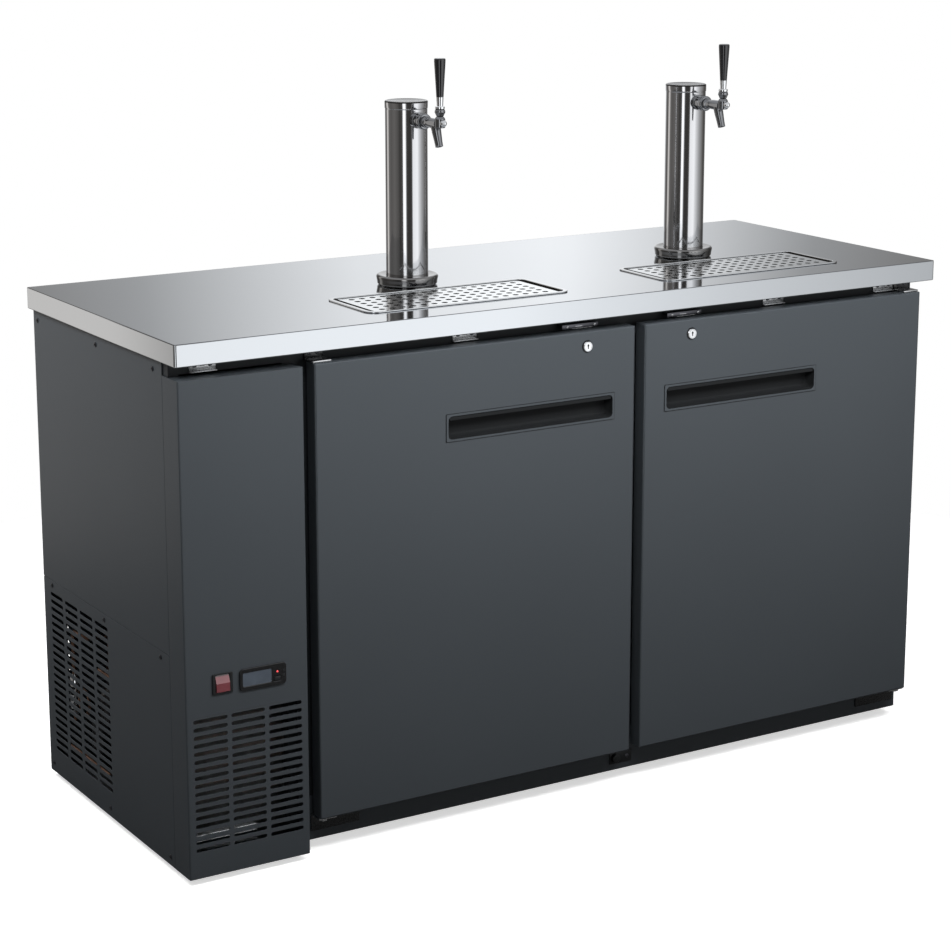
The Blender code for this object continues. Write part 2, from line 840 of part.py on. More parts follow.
def make_front_panel():
    """Folded front panel with slots and the cut-outs of the controller and the switch."""
    top = worktop_underside - PANEL_TOP_GAP
    panel = add_part(
        "front_vent_panel",
        rounded_box(
            (cabinet_left, door_face, housing_bottom),
            (machine_right, door_face + POST_RETURN, top),
            DOOR_EDGE_RADIUS,
            2,
            EDGE_STEPS,
        ),
        black_steel,
    )
    hollow = box_mesh(
        (
            (cabinet_left + SHEET, door_face + SHEET, housing_bottom + SHEET),
            (machine_right - SHEET, door_face + POST_RETURN + CUT, top - SHEET),
        )
    )
    cut(panel, hollow, "hollow")
    trimmed = box_mesh(
        (
            (cabinet_left + SHEET, frame_plane - GAP, housing_bottom - CUT),
            (machine_right + CUT, door_face + POST_RETURN + CUT, top + CUT),
        )
    )
    cut(panel, trimmed, "right_return")
    slots = slot_grid(
        (cabinet_left + FRONT_SLOT_MARGIN, door_face, FRONT_SLOT_TOP),
        0,
        FRONT_SLOT_COLUMNS,
        FRONT_SLOT_ROWS,
        FRONT_SLOT_LENGTH,
        FRONT_SLOT_BRIDGE,
        FRONT_SLOT_PITCH,
        (-CUT, SHEET + CUT),
    )
    cut(panel, slots, "slots")
    controller_hole = front_box(
        cabinet_left + CONTROLLER_X_INSET,
        CONTROLLER_Z,
        CONTROLLER_BODY_LENGTH + 2 * GAP,
        CONTROLLER_BODY_HEIGHT + 2 * GAP,
        door_face - CUT,
        door_face + SHEET + CUT,
    )
    cut(panel, box_mesh(controller_hole), "controller_hole")
    switch_hole = front_box(
        cabinet_left + SWITCH_X_INSET,
        SWITCH_Z,
        SWITCH_LENGTH - 2 * SWITCH_BODY_INSET + 2 * GAP,
        SWITCH_HEIGHT - SWITCH_BODY_INSET + 2 * GAP,
        door_face - CUT,
        door_face + SHEET + CUT,
    )
    cut(panel, box_mesh(switch_hole), "switch_hole")


def front_box(x, z, length, height, front, rear):
    """Low and high corners of a box about a point of the front."""
    return (x - length / 2, front, z - height / 2), (x + length / 2, rear, z + height / 2)


def make_base_and_rear():
    """Base pan of the machine compartment and its slotted rear panel."""
    left = cabinet_left + SHEET + GAP
    right = machine_right - GAP
    front = frame_plane
    rear = cabinet_rear - SHEET - GAP
    pan = add_part(
        "base_pan",
        box_mesh(((left, front, housing_bottom), (right, rear, housing_bottom + SHEET))),
        galvanised,
    )
    middle_front = front + FRAME_BAR + GAP
    middle_rear = rear - FRAME_BAR - GAP
    flange_top = housing_bottom + PAN_FLANGE
    for label, low_x in (("left", left), ("right", right - SHEET)):
        flange = box_mesh(
            ((low_x, middle_front, housing_bottom), (low_x + SHEET, middle_rear, flange_top))
        )
        join(pan, flange, f"flange_{label}")
    panel = add_part(
        "rear_vent_panel",
        box_mesh(
            (
                (left, cabinet_rear - SHEET, housing_bottom + GAP),
                (right, cabinet_rear, wall_top),
            )
        ),
        black_steel,
    )
    run = REAR_SLOT_COLUMNS * (REAR_SLOT_LENGTH + REAR_SLOT_BRIDGE) - REAR_SLOT_BRIDGE
    slots = slot_grid(
        (machine_middle - run / 2, cabinet_rear, REAR_SLOT_TOP),
        0,
        REAR_SLOT_COLUMNS,
        REAR_SLOT_ROWS,
        REAR_SLOT_LENGTH,
        REAR_SLOT_BRIDGE,
        REAR_SLOT_PITCH,
        (-SHEET - CUT, CUT),
    )
    cut(panel, slots, "slots")


def finned_block(name, low, high, fin_axis, fins, material):
    """A heat exchanger block with grooves between its fins, open to -Y or +X."""
    block = add_part(name, box_mesh((low, high)), material)
    low, high = Vector(low), Vector(high)
    pitch = (high[fin_axis] - low[fin_axis]) / fins
    groove = pitch * FIN_GAP_SHARE
    grooves = bmesh.new()
    for number in range(fins):
        cut_low, cut_high = low.copy(), high.copy()
        cut_low[fin_axis] += number * pitch + (pitch - groove) / 2
        cut_high[fin_axis] = cut_low[fin_axis] + groove
        if fin_axis == 0:
            cut_high.y = low.y + (high.y - low.y) * FIN_DEPTH_SHARE
            cut_low.y -= CUT
        else:
            cut_low.x = high.x - (high.x - low.x) * FIN_DEPTH_SHARE
            cut_high.x += CUT
        cut_low.z += SHEET
        cut_high.z -= SHEET
        add_box(grooves, cut_low, cut_high)
    cut(block, grooves, "grooves")
    return block


def add_fan(name, centre, turn, radius, hub_radius, hub_length, blades, material):
    """An axial fan about its own Z axis: a hub with pitched blades."""
    hub = rod_mesh((0, 0, -hub_length / 2), (0, 0, hub_length / 2), hub_radius, sides=SMALL_SIDES)
    fan = link_mesh(name, hub, parts, material, centre)
    fan.rotation_euler = turn
    chord = radius * BLADE_CHORD_SHARE
    for number in range(blades):
        blade = box_mesh(
            ((hub_radius / 2, -chord / 2, -BLADE_THICKNESS / 2), (radius, chord / 2, BLADE_THICKNESS / 2))
        )
        for vert in blade.verts:
            if vert.co.x < hub_radius:
                vert.co.y *= BLADE_ROOT_SHARE
        blade_turn = Matrix.Rotation(number * math.tau / blades, 4, "Z")
        blade_turn = blade_turn @ Matrix.Rotation(BLADE_PITCH, 4, "X")
        bmesh.ops.transform(blade, matrix=blade_turn, verts=blade.verts)
        helper = add_cutter(f"{name}_blade_{number}", blade)
        helper.parent = fan
        change(fan, helper, "UNION")
    return smooth(fan)


def make_condensing_unit():
    """Coil behind the front slots, fan in its shroud, and the compressor behind them."""
    coil_front = frame_plane + COIL_FRONT_GAP
    coil_bottom = housing_bottom + SHEET + GAP
    coil_low = (machine_middle - COIL_WIDTH / 2, coil_front, coil_bottom)
    coil_high = (machine_middle + COIL_WIDTH / 2, coil_front + COIL_DEPTH, coil_bottom + COIL_HEIGHT)
    finned_block("condenser_coil", coil_low, coil_high, 0, COIL_FINS, aluminium)
    shroud_front = coil_high[1] + GAP
    shroud_rear = shroud_front + SHROUD_DEPTH
    fan_z = coil_bottom + COIL_HEIGHT / 2
    shroud = add_part(
        "fan_shroud",
        box_mesh(
            (
                (coil_low[0], shroud_front, coil_bottom),
                (coil_high[0], shroud_rear, coil_bottom + COIL_HEIGHT),
            )
        ),
        galvanised,
    )
    hollow = box_mesh(
        (
            (coil_low[0] + SHROUD_WALL, shroud_front - CUT, coil_bottom + SHROUD_WALL),
            (coil_high[0] - SHROUD_WALL, shroud_rear - SHROUD_WALL, coil_bottom + COIL_HEIGHT - SHROUD_WALL),
        )
    )
    cut(shroud, hollow, "hollow")
    ring = rod_mesh(
        (machine_middle, shroud_rear - CUT, fan_z),
        (machine_middle, shroud_rear + CUT, fan_z),
        FAN_RADIUS + FAN_TIP_GAP,
        sides=FINE_SIDES,
    )
    cut(shroud, ring, "fan_hole")
    motor_front = shroud_rear + MOTOR_ARM_THICKNESS
    arm_reach = FAN_RADIUS + FAN_TIP_GAP + MOTOR_ARM
    arm = box_mesh(
        (
            (machine_middle - arm_reach, shroud_rear - SHROUD_WALL / 2, fan_z - MOTOR_ARM / 2),
            (machine_middle + arm_reach, motor_front, fan_z + MOTOR_ARM / 2),
        )
    )
    join(shroud, arm, "motor_arm")
    motor = rod_mesh(
        (machine_middle, motor_front - MOTOR_ARM_THICKNESS / 2, fan_z),
        (machine_middle, motor_front + MOTOR_LENGTH, fan_z),
        MOTOR_RADIUS,
        sides=SMALL_SIDES,
    )
    join(shroud, motor, "motor")
    fan_y = shroud_rear - SHROUD_WALL / 2 - MOTOR_SHAFT_GAP - FAN_HUB_LENGTH / 2
    fan_turn = (math.pi / 2, 0, 0)
    add_fan(
        "condenser_fan",
        (machine_middle, fan_y, fan_z),
        fan_turn,
        FAN_RADIUS,
        FAN_HUB_RADIUS,
        FAN_HUB_LENGTH,
        FAN_BLADES,
        black_plastic,
    )
    make_compressor(coil_bottom)


def make_compressor(bottom):
    """Welded compressor shell on its mounting plate and four feet."""
    plate_bottom = bottom + COMPRESSOR_FOOT_HEIGHT
    can_bottom = plate_bottom + COMPRESSOR_PLATE_THICKNESS / 2
    middle = COMPRESSOR_HEIGHT / 2
    points = []
    for step in range(ARC_STEPS + 1):
        angle = math.pi / 2 * (1 - step / ARC_STEPS)
        height = COMPRESSOR_HEIGHT - COMPRESSOR_DOME * (1 - math.sin(angle))
        points.append((COMPRESSOR_RADIUS * math.cos(angle), height))
    seam_radius = COMPRESSOR_RADIUS + COMPRESSOR_SEAM
    points.append((COMPRESSOR_RADIUS, middle + COMPRESSOR_SEAM_HEIGHT))
    points.append((seam_radius, middle + COMPRESSOR_SEAM_HEIGHT / 2))
    points.append((seam_radius, middle - COMPRESSOR_SEAM_HEIGHT / 2))
    points.append((COMPRESSOR_RADIUS, middle - COMPRESSOR_SEAM_HEIGHT))
    for step in range(ARC_STEPS + 1):
        angle = math.pi / 2 * step / ARC_STEPS
        height = COMPRESSOR_DOME * (1 - math.sin(angle))
        points.append((COMPRESSOR_RADIUS * math.cos(angle), height))
    can = turned_part(
        "compressor", points, machine_black, (machine_middle, compressor_y, can_bottom), SMALL_SIDES
    )
    plate = box_mesh(
        slab(
            (machine_middle, compressor_y),
            COMPRESSOR_PLATE_WIDTH,
            COMPRESSOR_PLATE_DEPTH,
            plate_bottom,
            plate_bottom + COMPRESSOR_PLATE_THICKNESS,
        )
    )
    join(can, plate, "plate")
    for side_x in (-1, 1):
        for side_y in (-1, 1):
            x = machine_middle + side_x * (COMPRESSOR_PLATE_WIDTH / 2 - COMPRESSOR_FOOT_RADIUS)
            y = compressor_y + side_y * (COMPRESSOR_PLATE_DEPTH / 2 - COMPRESSOR_FOOT_RADIUS)
            foot_top = plate_bottom + COMPRESSOR_PLATE_THICKNESS / 2
            foot = rod_mesh((x, y, bottom), (x, y, foot_top), COMPRESSOR_FOOT_RADIUS, sides=NUT_SIDES)
            join(can, foot, f"foot_{side_x}_{side_y}")
    box_left = machine_middle - COMPRESSOR_RADIUS - TERMINAL_BOX_DEPTH / 2
    box_bottom = can_bottom + COMPRESSOR_DOME
    terminal = box_mesh(
        (
            (box_left, compressor_y - TERMINAL_BOX_WIDTH / 2, box_bottom),
            (
                box_left + TERMINAL_BOX_DEPTH,
                compressor_y + TERMINAL_BOX_WIDTH / 2,
                box_bottom + TERMINAL_BOX_HEIGHT,
            ),
        )
    )
    join(can, terminal, "terminal_box")


def make_blower():
    """Evaporator coil, its fan and their cover on the divider's keg side."""
    back = machine_right + WALL_THICKNESS + GAP
    front = back + BLOWER_DEPTH
    low_y = blower_y - BLOWER_WIDTH / 2
    high_y = blower_y + BLOWER_WIDTH / 2
    low_z = blower_bottom
    high_z = low_z + BLOWER_HEIGHT
    cover = add_part(
        "evaporator_cover",
        rounded_box((back, low_y, low_z), (front, high_y, high_z), DOOR_EDGE_RADIUS, 2, EDGE_STEPS),
        galvanised,
    )
    hollow = box_mesh(
        ((back - CUT, low_y + SHEET, low_z + SHEET), (front - SHEET, high_y - SHEET, high_z - SHEET))
    )
    cut(cover, hollow, "hollow")
    fan_z = high_z - BLOWER_FAN_DROP
    hole = rod_mesh(
        (front - CUT, blower_y, fan_z),
        (front + CUT, blower_y, fan_z),
        BLOWER_FAN_RADIUS + FAN_TIP_GAP,
        sides=ROUND_SIDES,
    )
    cut(cover, hole, "fan_hole")
    top_slot_z = low_z + BLOWER_SLOT_RISE + BLOWER_SLOTS * BLOWER_SLOT_PITCH
    slots = slot_grid(
        (front, blower_y - BLOWER_SLOT_LENGTH / 2, top_slot_z),
        1,
        1,
        BLOWER_SLOTS,
        BLOWER_SLOT_LENGTH,
        BLOWER_SLOT_PITCH,
        BLOWER_SLOT_PITCH,
        (-SHEET - CUT, CUT),
    )
    cut(cover, slots, "slots")
    motor_front = back + BLOWER_MOTOR_LENGTH
    arm_reach = BLOWER_WIDTH / 2 - SHEET / 2
    arm = box_mesh(
        (
            (motor_front - MOTOR_ARM_THICKNESS, blower_y - arm_reach, fan_z - MOTOR_ARM / 2),
            (motor_front, blower_y + arm_reach, fan_z + MOTOR_ARM / 2),
        )
    )
    join(cover, arm, "motor_arm")
    motor = rod_mesh((back, blower_y, fan_z), (motor_front, blower_y, fan_z), BLOWER_MOTOR_RADIUS)
    join(cover, motor, "motor")
    fan_x = motor_front + MOTOR_SHAFT_GAP + BLOWER_HUB_LENGTH / 2
    add_fan(
        "evaporator_fan",
        (fan_x, blower_y, fan_z),
        (0, math.pi / 2, 0),
        BLOWER_FAN_RADIUS,
        BLOWER_HUB_RADIUS,
        BLOWER_HUB_LENGTH,
        BLOWER_FAN_BLADES,
        black_plastic,
    )
    coil_low_z = low_z + SHEET + GAP
    finned_block(
        "evaporator_coil",
        (back, low_y + SHEET + EVAPORATOR_SIDE_GAP, coil_low_z),
        (back + EVAPORATOR_DEPTH, high_y - SHEET - EVAPORATOR_SIDE_GAP, coil_low_z + EVAPORATOR_HEIGHT),
        1,
        EVAPORATOR_FINS,
        aluminium,
    )


def make_feet():
    """Four levelling feet, longer under the keg cabinet than under the machine compartment."""
    rows = (("front", frame_plane + FOOT_FRONT_INSET), ("rear", cabinet_rear - FOOT_REAR_INSET))
    ends = (
        ("left", cabinet_left + FOOT_SIDE_INSET, housing_bottom),
        ("right", cabinet_right - FOOT_SIDE_INSET, cabinet_bottom),
    )
    for row, y in rows:
        for end, x, bottom in ends:
            points = [
                (0, bottom - GAP),
                (FOOT_STEM_RADIUS, bottom - GAP),
                (FOOT_STEM_RADIUS, FOOT_PAD_HEIGHT),
                (FOOT_RADIUS, FOOT_PAD_HEIGHT / 2),
                (FOOT_RADIUS, 0),
                (0, 0),
            ]
            turned_part(f"foot_{row}_{end}", points, black_plastic, (x, y, 0), PIN_SIDES)


def make_drip_tray(side):
    """Drip tray dropped into the worktop, with a ledge for its grille and a drain tail."""
    name = side_name(side)
    middle = tray_middle(side)
    rim_bottom = worktop_top + GAP
    rim_top = rim_bottom + TRAY_RIM_HEIGHT
    ledge = rim_top - TRAY_LEDGE_DROP
    well_bottom = rim_top - TRAY_WELL_DROP
    floor_bottom = well_bottom - TRAY_WALL
    outer_length = TRAY_LENGTH - 2 * TRAY_RIM_WIDTH
    outer_depth = TRAY_DEPTH - 2 * TRAY_RIM_WIDTH
    inner_length = outer_length - 2 * TRAY_WALL
    inner_depth = outer_depth - 2 * TRAY_WALL
    well_depth = inner_depth - 2 * TRAY_LEDGE_WIDTH
    inner_radius = tray_inner_radius()
    tray = add_part(
        f"drip_tray_{name}",
        rounded_box(*slab(middle, TRAY_LENGTH, TRAY_DEPTH, rim_bottom, rim_top), TRAY_CORNER_RADIUS, 2),
        stainless,
    )
    upper = slab(middle, outer_length, outer_depth, ledge - TRAY_WALL, rim_top - TRAY_RIM_HEIGHT / 2)
    join(tray, rounded_box(*upper, inner_radius, 2), "upper")
    lower_depth = well_depth + 2 * TRAY_WALL
    lower = slab(middle, outer_length, lower_depth, floor_bottom, ledge - TRAY_WALL / 2)
    join(tray, rounded_box(*lower, TRAY_WALL, 2, EDGE_STEPS), "lower")
    tray_x, tray_y = middle
    tail_bottom = roof_bottom - DRAIN_TAIL
    tail_top = floor_bottom + TRAY_WALL / 2
    tail = rod_mesh((tray_x, tray_y, tail_bottom), (tray_x, tray_y, tail_top), DRAIN_RADIUS, sides=PIN_SIDES)
    join(tray, tail, "tail")
    recess = slab(middle, inner_length, inner_depth, ledge, rim_top + CUT)
    cut(tray, rounded_box(*recess, inner_radius - TRAY_WALL, 2), "recess")
    well = slab(middle, inner_length, well_depth, well_bottom, rim_top)
    cut(tray, rounded_box(*well, TRAY_WALL, 2, EDGE_STEPS), "well")
    bore_ends = (tray_x, tray_y, tail_bottom - CUT), (tray_x, tray_y, well_bottom + CUT)
    cut(tray, rod_mesh(*bore_ends, DRAIN_BORE_RADIUS, sides=PIN_SIDES), "drain")
    make_grille(name, middle, inner_depth, ledge + GAP)


def make_grille(name, middle, inner_depth, bottom):
    """Lift-out grille with rows of holes; it lies on the tray's long ledges."""
    depth = inner_depth - 2 * GRILLE_SIDE_GAP
    corners = slab(middle, GRILLE_LENGTH, depth, bottom, bottom + GRILLE_THICKNESS)
    grille = add_part(
        f"drip_grille_{name}",
        rounded_box(*corners, GRILLE_CORNER_RADIUS, 2, EDGE_STEPS),
        stainless,
        (*middle, bottom),
    )
    holes = bmesh.new()
    for column in range(GRILLE_COLUMNS):
        for row in range(GRILLE_ROWS):
            x = middle[0] + (column - (GRILLE_COLUMNS - 1) / 2) * GRILLE_COLUMN_PITCH
            y = middle[1] + (row - (GRILLE_ROWS - 1) / 2) * GRILLE_ROW_PITCH
            low, high = slab((x, y), GRILLE_HOLE, GRILLE_HOLE, bottom - CUT, bottom + GRILLE_THICKNESS + CUT)
            add_box(holes, low, high)
    cut(grille, holes, "holes")


def make_tower(side):
    """Draught tower: base flange, column, cap and shank."""
    name = side_name(side)
    x = tower_x(side)
    base = worktop_top + GAP
    fit_radius = COLUMN_RADIUS + GAP
    flange_points = [
        (fit_radius, FLANGE_HEIGHT),
        (FLANGE_TOP_RADIUS, FLANGE_HEIGHT),
        (FLANGE_BELLY_RADIUS, FLANGE_HEIGHT - FLANGE_SHOULDER),
        (FLANGE_BELLY_RADIUS, FLANGE_FOOT_HEIGHT),
        (FLANGE_FOOT_RADIUS, 0),
        (fit_radius, 0),
    ]
    turned_part(f"tower_flange_{name}", flange_points, polished, (x, TOWER_Y, base), FINE_SIDES, True)
    inner_radius = COLUMN_RADIUS - COLUMN_WALL
    column_points = [
        (COLUMN_RADIUS, COLUMN_HEIGHT),
        (COLUMN_RADIUS, 0),
        (inner_radius, 0),
        (inner_radius, COLUMN_HEIGHT),
    ]
    column = turned_part(
        f"tower_column_{name}", column_points, polished, (x, TOWER_Y, base), FINE_SIDES, True
    )
    shank_z = base + COLUMN_HEIGHT - CAP_PLUG_DEPTH - SHANK_CAP_CLEARANCE - SHANK_LOCKNUT_RADIUS
    hole = rod_mesh(
        (x, TOWER_Y, shank_z), (x, TOWER_Y - COLUMN_RADIUS - CUT, shank_z), SHANK_RADIUS + RUNNING_GAP
    )
    cut(column, hole, "shank_hole")
    plug_radius = inner_radius - GAP
    cap_points = [
        (0, CAP_HEIGHT),
        (CAP_RADIUS - CAP_CHAMFER, CAP_HEIGHT),
        (CAP_RADIUS, CAP_HEIGHT - CAP_CHAMFER),
        (CAP_RADIUS, 0),
        (plug_radius, 0),
        (plug_radius, -CAP_PLUG_DEPTH),
        (0, -CAP_PLUG_DEPTH),
    ]
    cap_z = base + COLUMN_HEIGHT + GAP
    turned_part(f"tower_cap_{name}", cap_points, polished, (x, TOWER_Y, cap_z), FINE_SIDES)
    make_shank(name, x, shank_z)
    make_faucet(name, x, shank_z)


def make_shank(name, x, z):
    """Shank through the column wall, with its inner lock nut, outer collar and coupling nut."""
    collar_end = COLUMN_RADIUS + COLLAR_THICKNESS
    nut_start = collar_end + COUPLING_GROOVE
    nut_end = nut_start + COUPLING_LENGTH
    outer_points = [
        (0, nut_end),
        (COUPLING_RADIUS - COUPLING_ROUNDING, nut_end),
        (COUPLING_RADIUS, nut_end - COUPLING_ROUNDING),
        (COUPLING_RADIUS, nut_start),
        (SHANK_RADIUS, nut_start),
        (SHANK_RADIUS, collar_end),
        (COLLAR_RADIUS, collar_end),
        (COLLAR_RADIUS, COLLAR_ROOT),
        (0, COLLAR_ROOT),
    ]
    shank = turned_part(f"shank_{name}", outer_points, polished, (x, TOWER_Y, z), SMALL_SIDES)
    shank.rotation_euler = (math.pi / 2, 0, 0)
    seat = rod_mesh(
        (x, TOWER_Y, z - COLLAR_RADIUS - CUT),
        (x, TOWER_Y, z + COLLAR_RADIUS + CUT),
        COLUMN_RADIUS + GAP,
        sides=FINE_SIDES,
    )
    cut(shank, seat, "seat")
    barrel = rod_mesh((x, TOWER_Y + SHANK_TAIL, z), (x, TOWER_Y - collar_end, z), SHANK_RADIUS)
    join(shank, barrel, "barrel")
    nut_rear = TOWER_Y - SHANK_LOCKNUT_PLACE
    lock_nut = rod_mesh(
        (x, nut_rear, z), (x, nut_rear - SHANK_LOCKNUT_THICKNESS, z), SHANK_LOCKNUT_RADIUS, sides=NUT_SIDES
    )
    join(shank, lock_nut, "lock_nut")


def make_faucet(name, x, z):
    """Faucet body: neck, hub with a round top, slanted spout and front plug."""
    neck_start = COLUMN_RADIUS + COLLAR_THICKNESS + COUPLING_GROOVE + COUPLING_LENGTH + GAP
    bead_end = neck_start + NECK_BEAD_LENGTH
    neck_points = [
        (0, HUB_REACH),
        (NECK_WAIST_RADIUS, HUB_REACH),
        (NECK_WAIST_RADIUS, bead_end + NECK_WAIST_LENGTH),
        (NECK_RADIUS, bead_end),
        (NECK_RADIUS, neck_start),
        (0, neck_start),
    ]
    body = turned_part(f"faucet_body_{name}", neck_points, polished, (x, TOWER_Y, z), SMALL_SIDES)
    body.rotation_euler = (math.pi / 2, 0, 0)
    hub_y = TOWER_Y - HUB_REACH
    pivot_z = z + HUB_RISE
    hub_points = dome_points(HUB_RADIUS)
    hub_points.append((HUB_RADIUS, -HUB_DROP))
    hub_points.append((0, -HUB_DROP))
    change(body, turned_helper(f"{body.name}_hub", hub_points, (x, hub_y, pivot_z)), "UNION")
    spout_top = Vector((x, TOWER_Y - SPOUT_TOP_REACH, z))
    spout_end = Vector((x, TOWER_Y - SPOUT_END_REACH, z - SPOUT_LENGTH))
    join(body, rod_mesh(spout_top, spout_end, SPOUT_TOP_RADIUS, SPOUT_END_RADIUS), "spout")
    plug = bmesh.new()
    plug_place = Matrix.Translation((x, hub_y - PLUG_REACH, pivot_z - PLUG_DROP))
    bmesh.ops.create_uvsphere(
        plug, u_segments=SMALL_SIDES, v_segments=NUT_SIDES, radius=PLUG_RADIUS, matrix=plug_place
    )
    join(body, plug, "plug")
    fall = (spout_end - spout_top).normalized()
    bore = rod_mesh(spout_end - fall * SPOUT_BORE_DEPTH, spout_end + fall * CUT, SPOUT_BORE_RADIUS)
    cut(body, bore, "bore")
    make_tap_lever(name, (x, hub_y, pivot_z))


def dome_points(radius):
    """Profile of a ball's upper half, from its top down to its middle."""
    points = []
    for step in range(ARC_STEPS + 1):
        angle = math.pi / 2 * step / ARC_STEPS
        points.append((radius * math.sin(angle), radius * math.cos(angle)))
    return points


def make_tap_lever(name, pivot):
    """Lever that rocks on the hub's round top, and the black handle screwed to it."""
    seat = HUB_RADIUS + RUNNING_GAP
    rim_angle = math.asin(LEVER_RIM_RADIUS / seat)
    points = [
        (0, STUD_TOP_HEIGHT),
        (STUD_RADIUS, STUD_TOP_HEIGHT),
        (STUD_RADIUS, FERRULE_TOP_HEIGHT),
        (FERRULE_RADIUS, FERRULE_TOP_HEIGHT),
        (FERRULE_RADIUS, LEVER_NECK_HEIGHT),
        (LEVER_RADIUS, LEVER_TOP_HEIGHT),
        (LEVER_RADIUS, LEVER_FLARE_HEIGHT),
        (LEVER_FOOT_RADIUS, LEVER_FOOT_HEIGHT),
    ]
    for step in range(ARC_STEPS + 1):
        angle = rim_angle * (1 - step / ARC_STEPS)
        points.append((seat * math.sin(angle), seat * math.cos(angle)))
    lever = turned_part(f"tap_lever_{name}", points, polished, pivot, SMALL_SIDES)
    foot = FERRULE_TOP_HEIGHT + GAP
    rise = HANDLE_TOP_HEIGHT - foot
    spread = HANDLE_TOP_RADIUS - HANDLE_FOOT_RADIUS
    belly_radius = HANDLE_FOOT_RADIUS + spread * HANDLE_BELLY_FULLNESS_SHARE
    handle_points = [
        (0, HANDLE_TOP_HEIGHT),
        (HANDLE_TOP_RADIUS - HANDLE_ROUNDING, HANDLE_TOP_HEIGHT),
        (HANDLE_TOP_RADIUS, HANDLE_TOP_HEIGHT - HANDLE_ROUNDING),
        (belly_radius, foot + rise * HANDLE_BELLY_SHARE),
        (HANDLE_FOOT_RADIUS, foot),
        (STUD_RADIUS + GAP, foot),
        (STUD_RADIUS + GAP, STUD_TOP_HEIGHT + GAP),
        (0, STUD_TOP_HEIGHT + GAP),
    ]
    handle = turned_part(f"tap_handle_{name}", handle_points, gloss_black, (0, 0, 0), SMALL_SIDES)
    handle.parent = lever


def door_left(side):
    """The left edge of a door."""
    return left_door_left if side < 0 else right_door_right - door_width


def hinge_x(side):
    """The hinge axis of a door, near its outer edge."""
    if side < 0:
        return left_door_left + HINGE_EDGE_DISTANCE
    return right_door_right - HINGE_EDGE_DISTANCE


def free_edge(side):
    """The edge of a door next to the other door."""
    return left_door_left + door_width if side < 0 else right_door_right - door_width


def opening_edges(side):
    """Left and right edges of the opening that a door closes."""
    if side < 0:
        return machine_right + WALL_THICKNESS, mullion_x - MULLION_WIDTH / 2
    return mullion_x + MULLION_WIDTH / 2, cabinet_right - WALL_THICKNESS


def lock_place(side):
    """Where a door's lock sits along the worktop."""
    return free_edge(side) + side * LOCK_EDGE_DISTANCE


def make_door(side):
    """Door: outer panel, inner liner, gasket, recessed handle and lock."""
    name = side_name(side)
    left = door_left(side)
    right = left + door_width
    axis = (hinge_x(side), hinge_y, door_bottom)
    panel = add_part(
        f"door_panel_{name}",
        soft_box((left, door_face, door_bottom), (right, panel_back, door_top), DOOR_EDGE_RADIUS),
        black_steel,
        axis,
    )
    cup = cup_corners(side)
    pocket_low = Vector(cup[0]) - Vector((GAP, CUT, GAP))
    pocket_high = Vector(cup[1]) + Vector((GAP, GAP, GAP))
    cut(panel, rounded_box(pocket_low, pocket_high, CUP_CORNER_RADIUS, 1), "handle_pocket")
    lock_x = lock_place(side)
    barrel_hole = rod_mesh(
        (lock_x, door_face - CUT, lock_z),
        (lock_x, panel_back + CUT, lock_z),
        LOCK_BARREL_RADIUS + RUNNING_GAP,
    )
    cut(panel, barrel_hole, "lock_hole")
    reach = CAM_LENGTH + CAM_WIDTH / 2
    room = CAM_WIDTH / 2 + CAM_POCKET_CLEARANCE
    pocket_front = panel_back - CAM_THICKNESS - 2 * RUNNING_GAP
    sweep_ends = sorted((lock_x - side * room, lock_x + side * (reach + CAM_POCKET_CLEARANCE)))
    cam_pocket = box_mesh(
        ((sweep_ends[0], pocket_front, lock_z - room), (sweep_ends[1], panel_back + CUT, door_top + CUT))
    )
    cut(panel, cam_pocket, "cam_pocket")
    pin_room = HINGE_PIN_LENGTH + 2 * RUNNING_GAP
    for label, start, end in (
        ("low_bore", door_bottom - CUT, door_bottom + pin_room),
        ("top_bore", door_top - pin_room, door_top + CUT),
    ):
        bore_ends = (axis[0], axis[1], start), (axis[0], axis[1], end)
        bore = rod_mesh(*bore_ends, HINGE_PIN_RADIUS + RUNNING_GAP, sides=PIN_SIDES)
        cut(panel, bore, label)
    make_liner(side, left, right, axis)
    make_gasket(name, left, right, axis)
    make_cup(name, cup, axis)
    make_lock(name, side, lock_x)


def make_liner(side, left, right, axis):
    """Inner liner of a door: a flange under the gasket and a pad that enters the door opening."""
    liner = add_part(
        f"door_liner_{side_name(side)}",
        box_mesh(
            (
                (left + LINER_INSET, liner_front, door_bottom + LINER_INSET),
                (right - LINER_INSET, liner_front + LINER_FLANGE, door_top - LINER_INSET),
            )
        ),
        white_liner,
        axis,
    )
    pad_left, pad_right = opening_edges(side)
    pad = soft_box(
        (pad_left + LINER_PAD_CLEARANCE, liner_front + LINER_FLANGE / 2, floor_top + LINER_PAD_CLEARANCE),
        (pad_right - LINER_PAD_CLEARANCE, frame_plane + LINER_PAD_REACH, roof_bottom - LINER_PAD_CLEARANCE),
        LINER_PAD_ROUNDING,
    )
    join(liner, pad, "pad")


def make_gasket(name, left, right, axis):
    """Magnetic gasket, a flat ring between the liner's flange and the cabinet's front."""
    inset = GASKET_INSET
    inner = GASKET_INSET + GASKET_WIDTH
    gasket = add_part(
        f"door_gasket_{name}",
        box_mesh(
            (
                (left + inset, gasket_front, door_bottom + inset),
                (right - inset, gasket_front + GASKET_THICKNESS, door_top - inset),
            )
        ),
        grey_rubber,
        axis,
    )
    middle = box_mesh(
        (
            (left + inner, gasket_front - CUT, door_bottom + inner),
            (right - inner, gasket_front + GASKET_THICKNESS + CUT, door_top - inner),
        )
    )
    cut(gasket, middle, "middle")


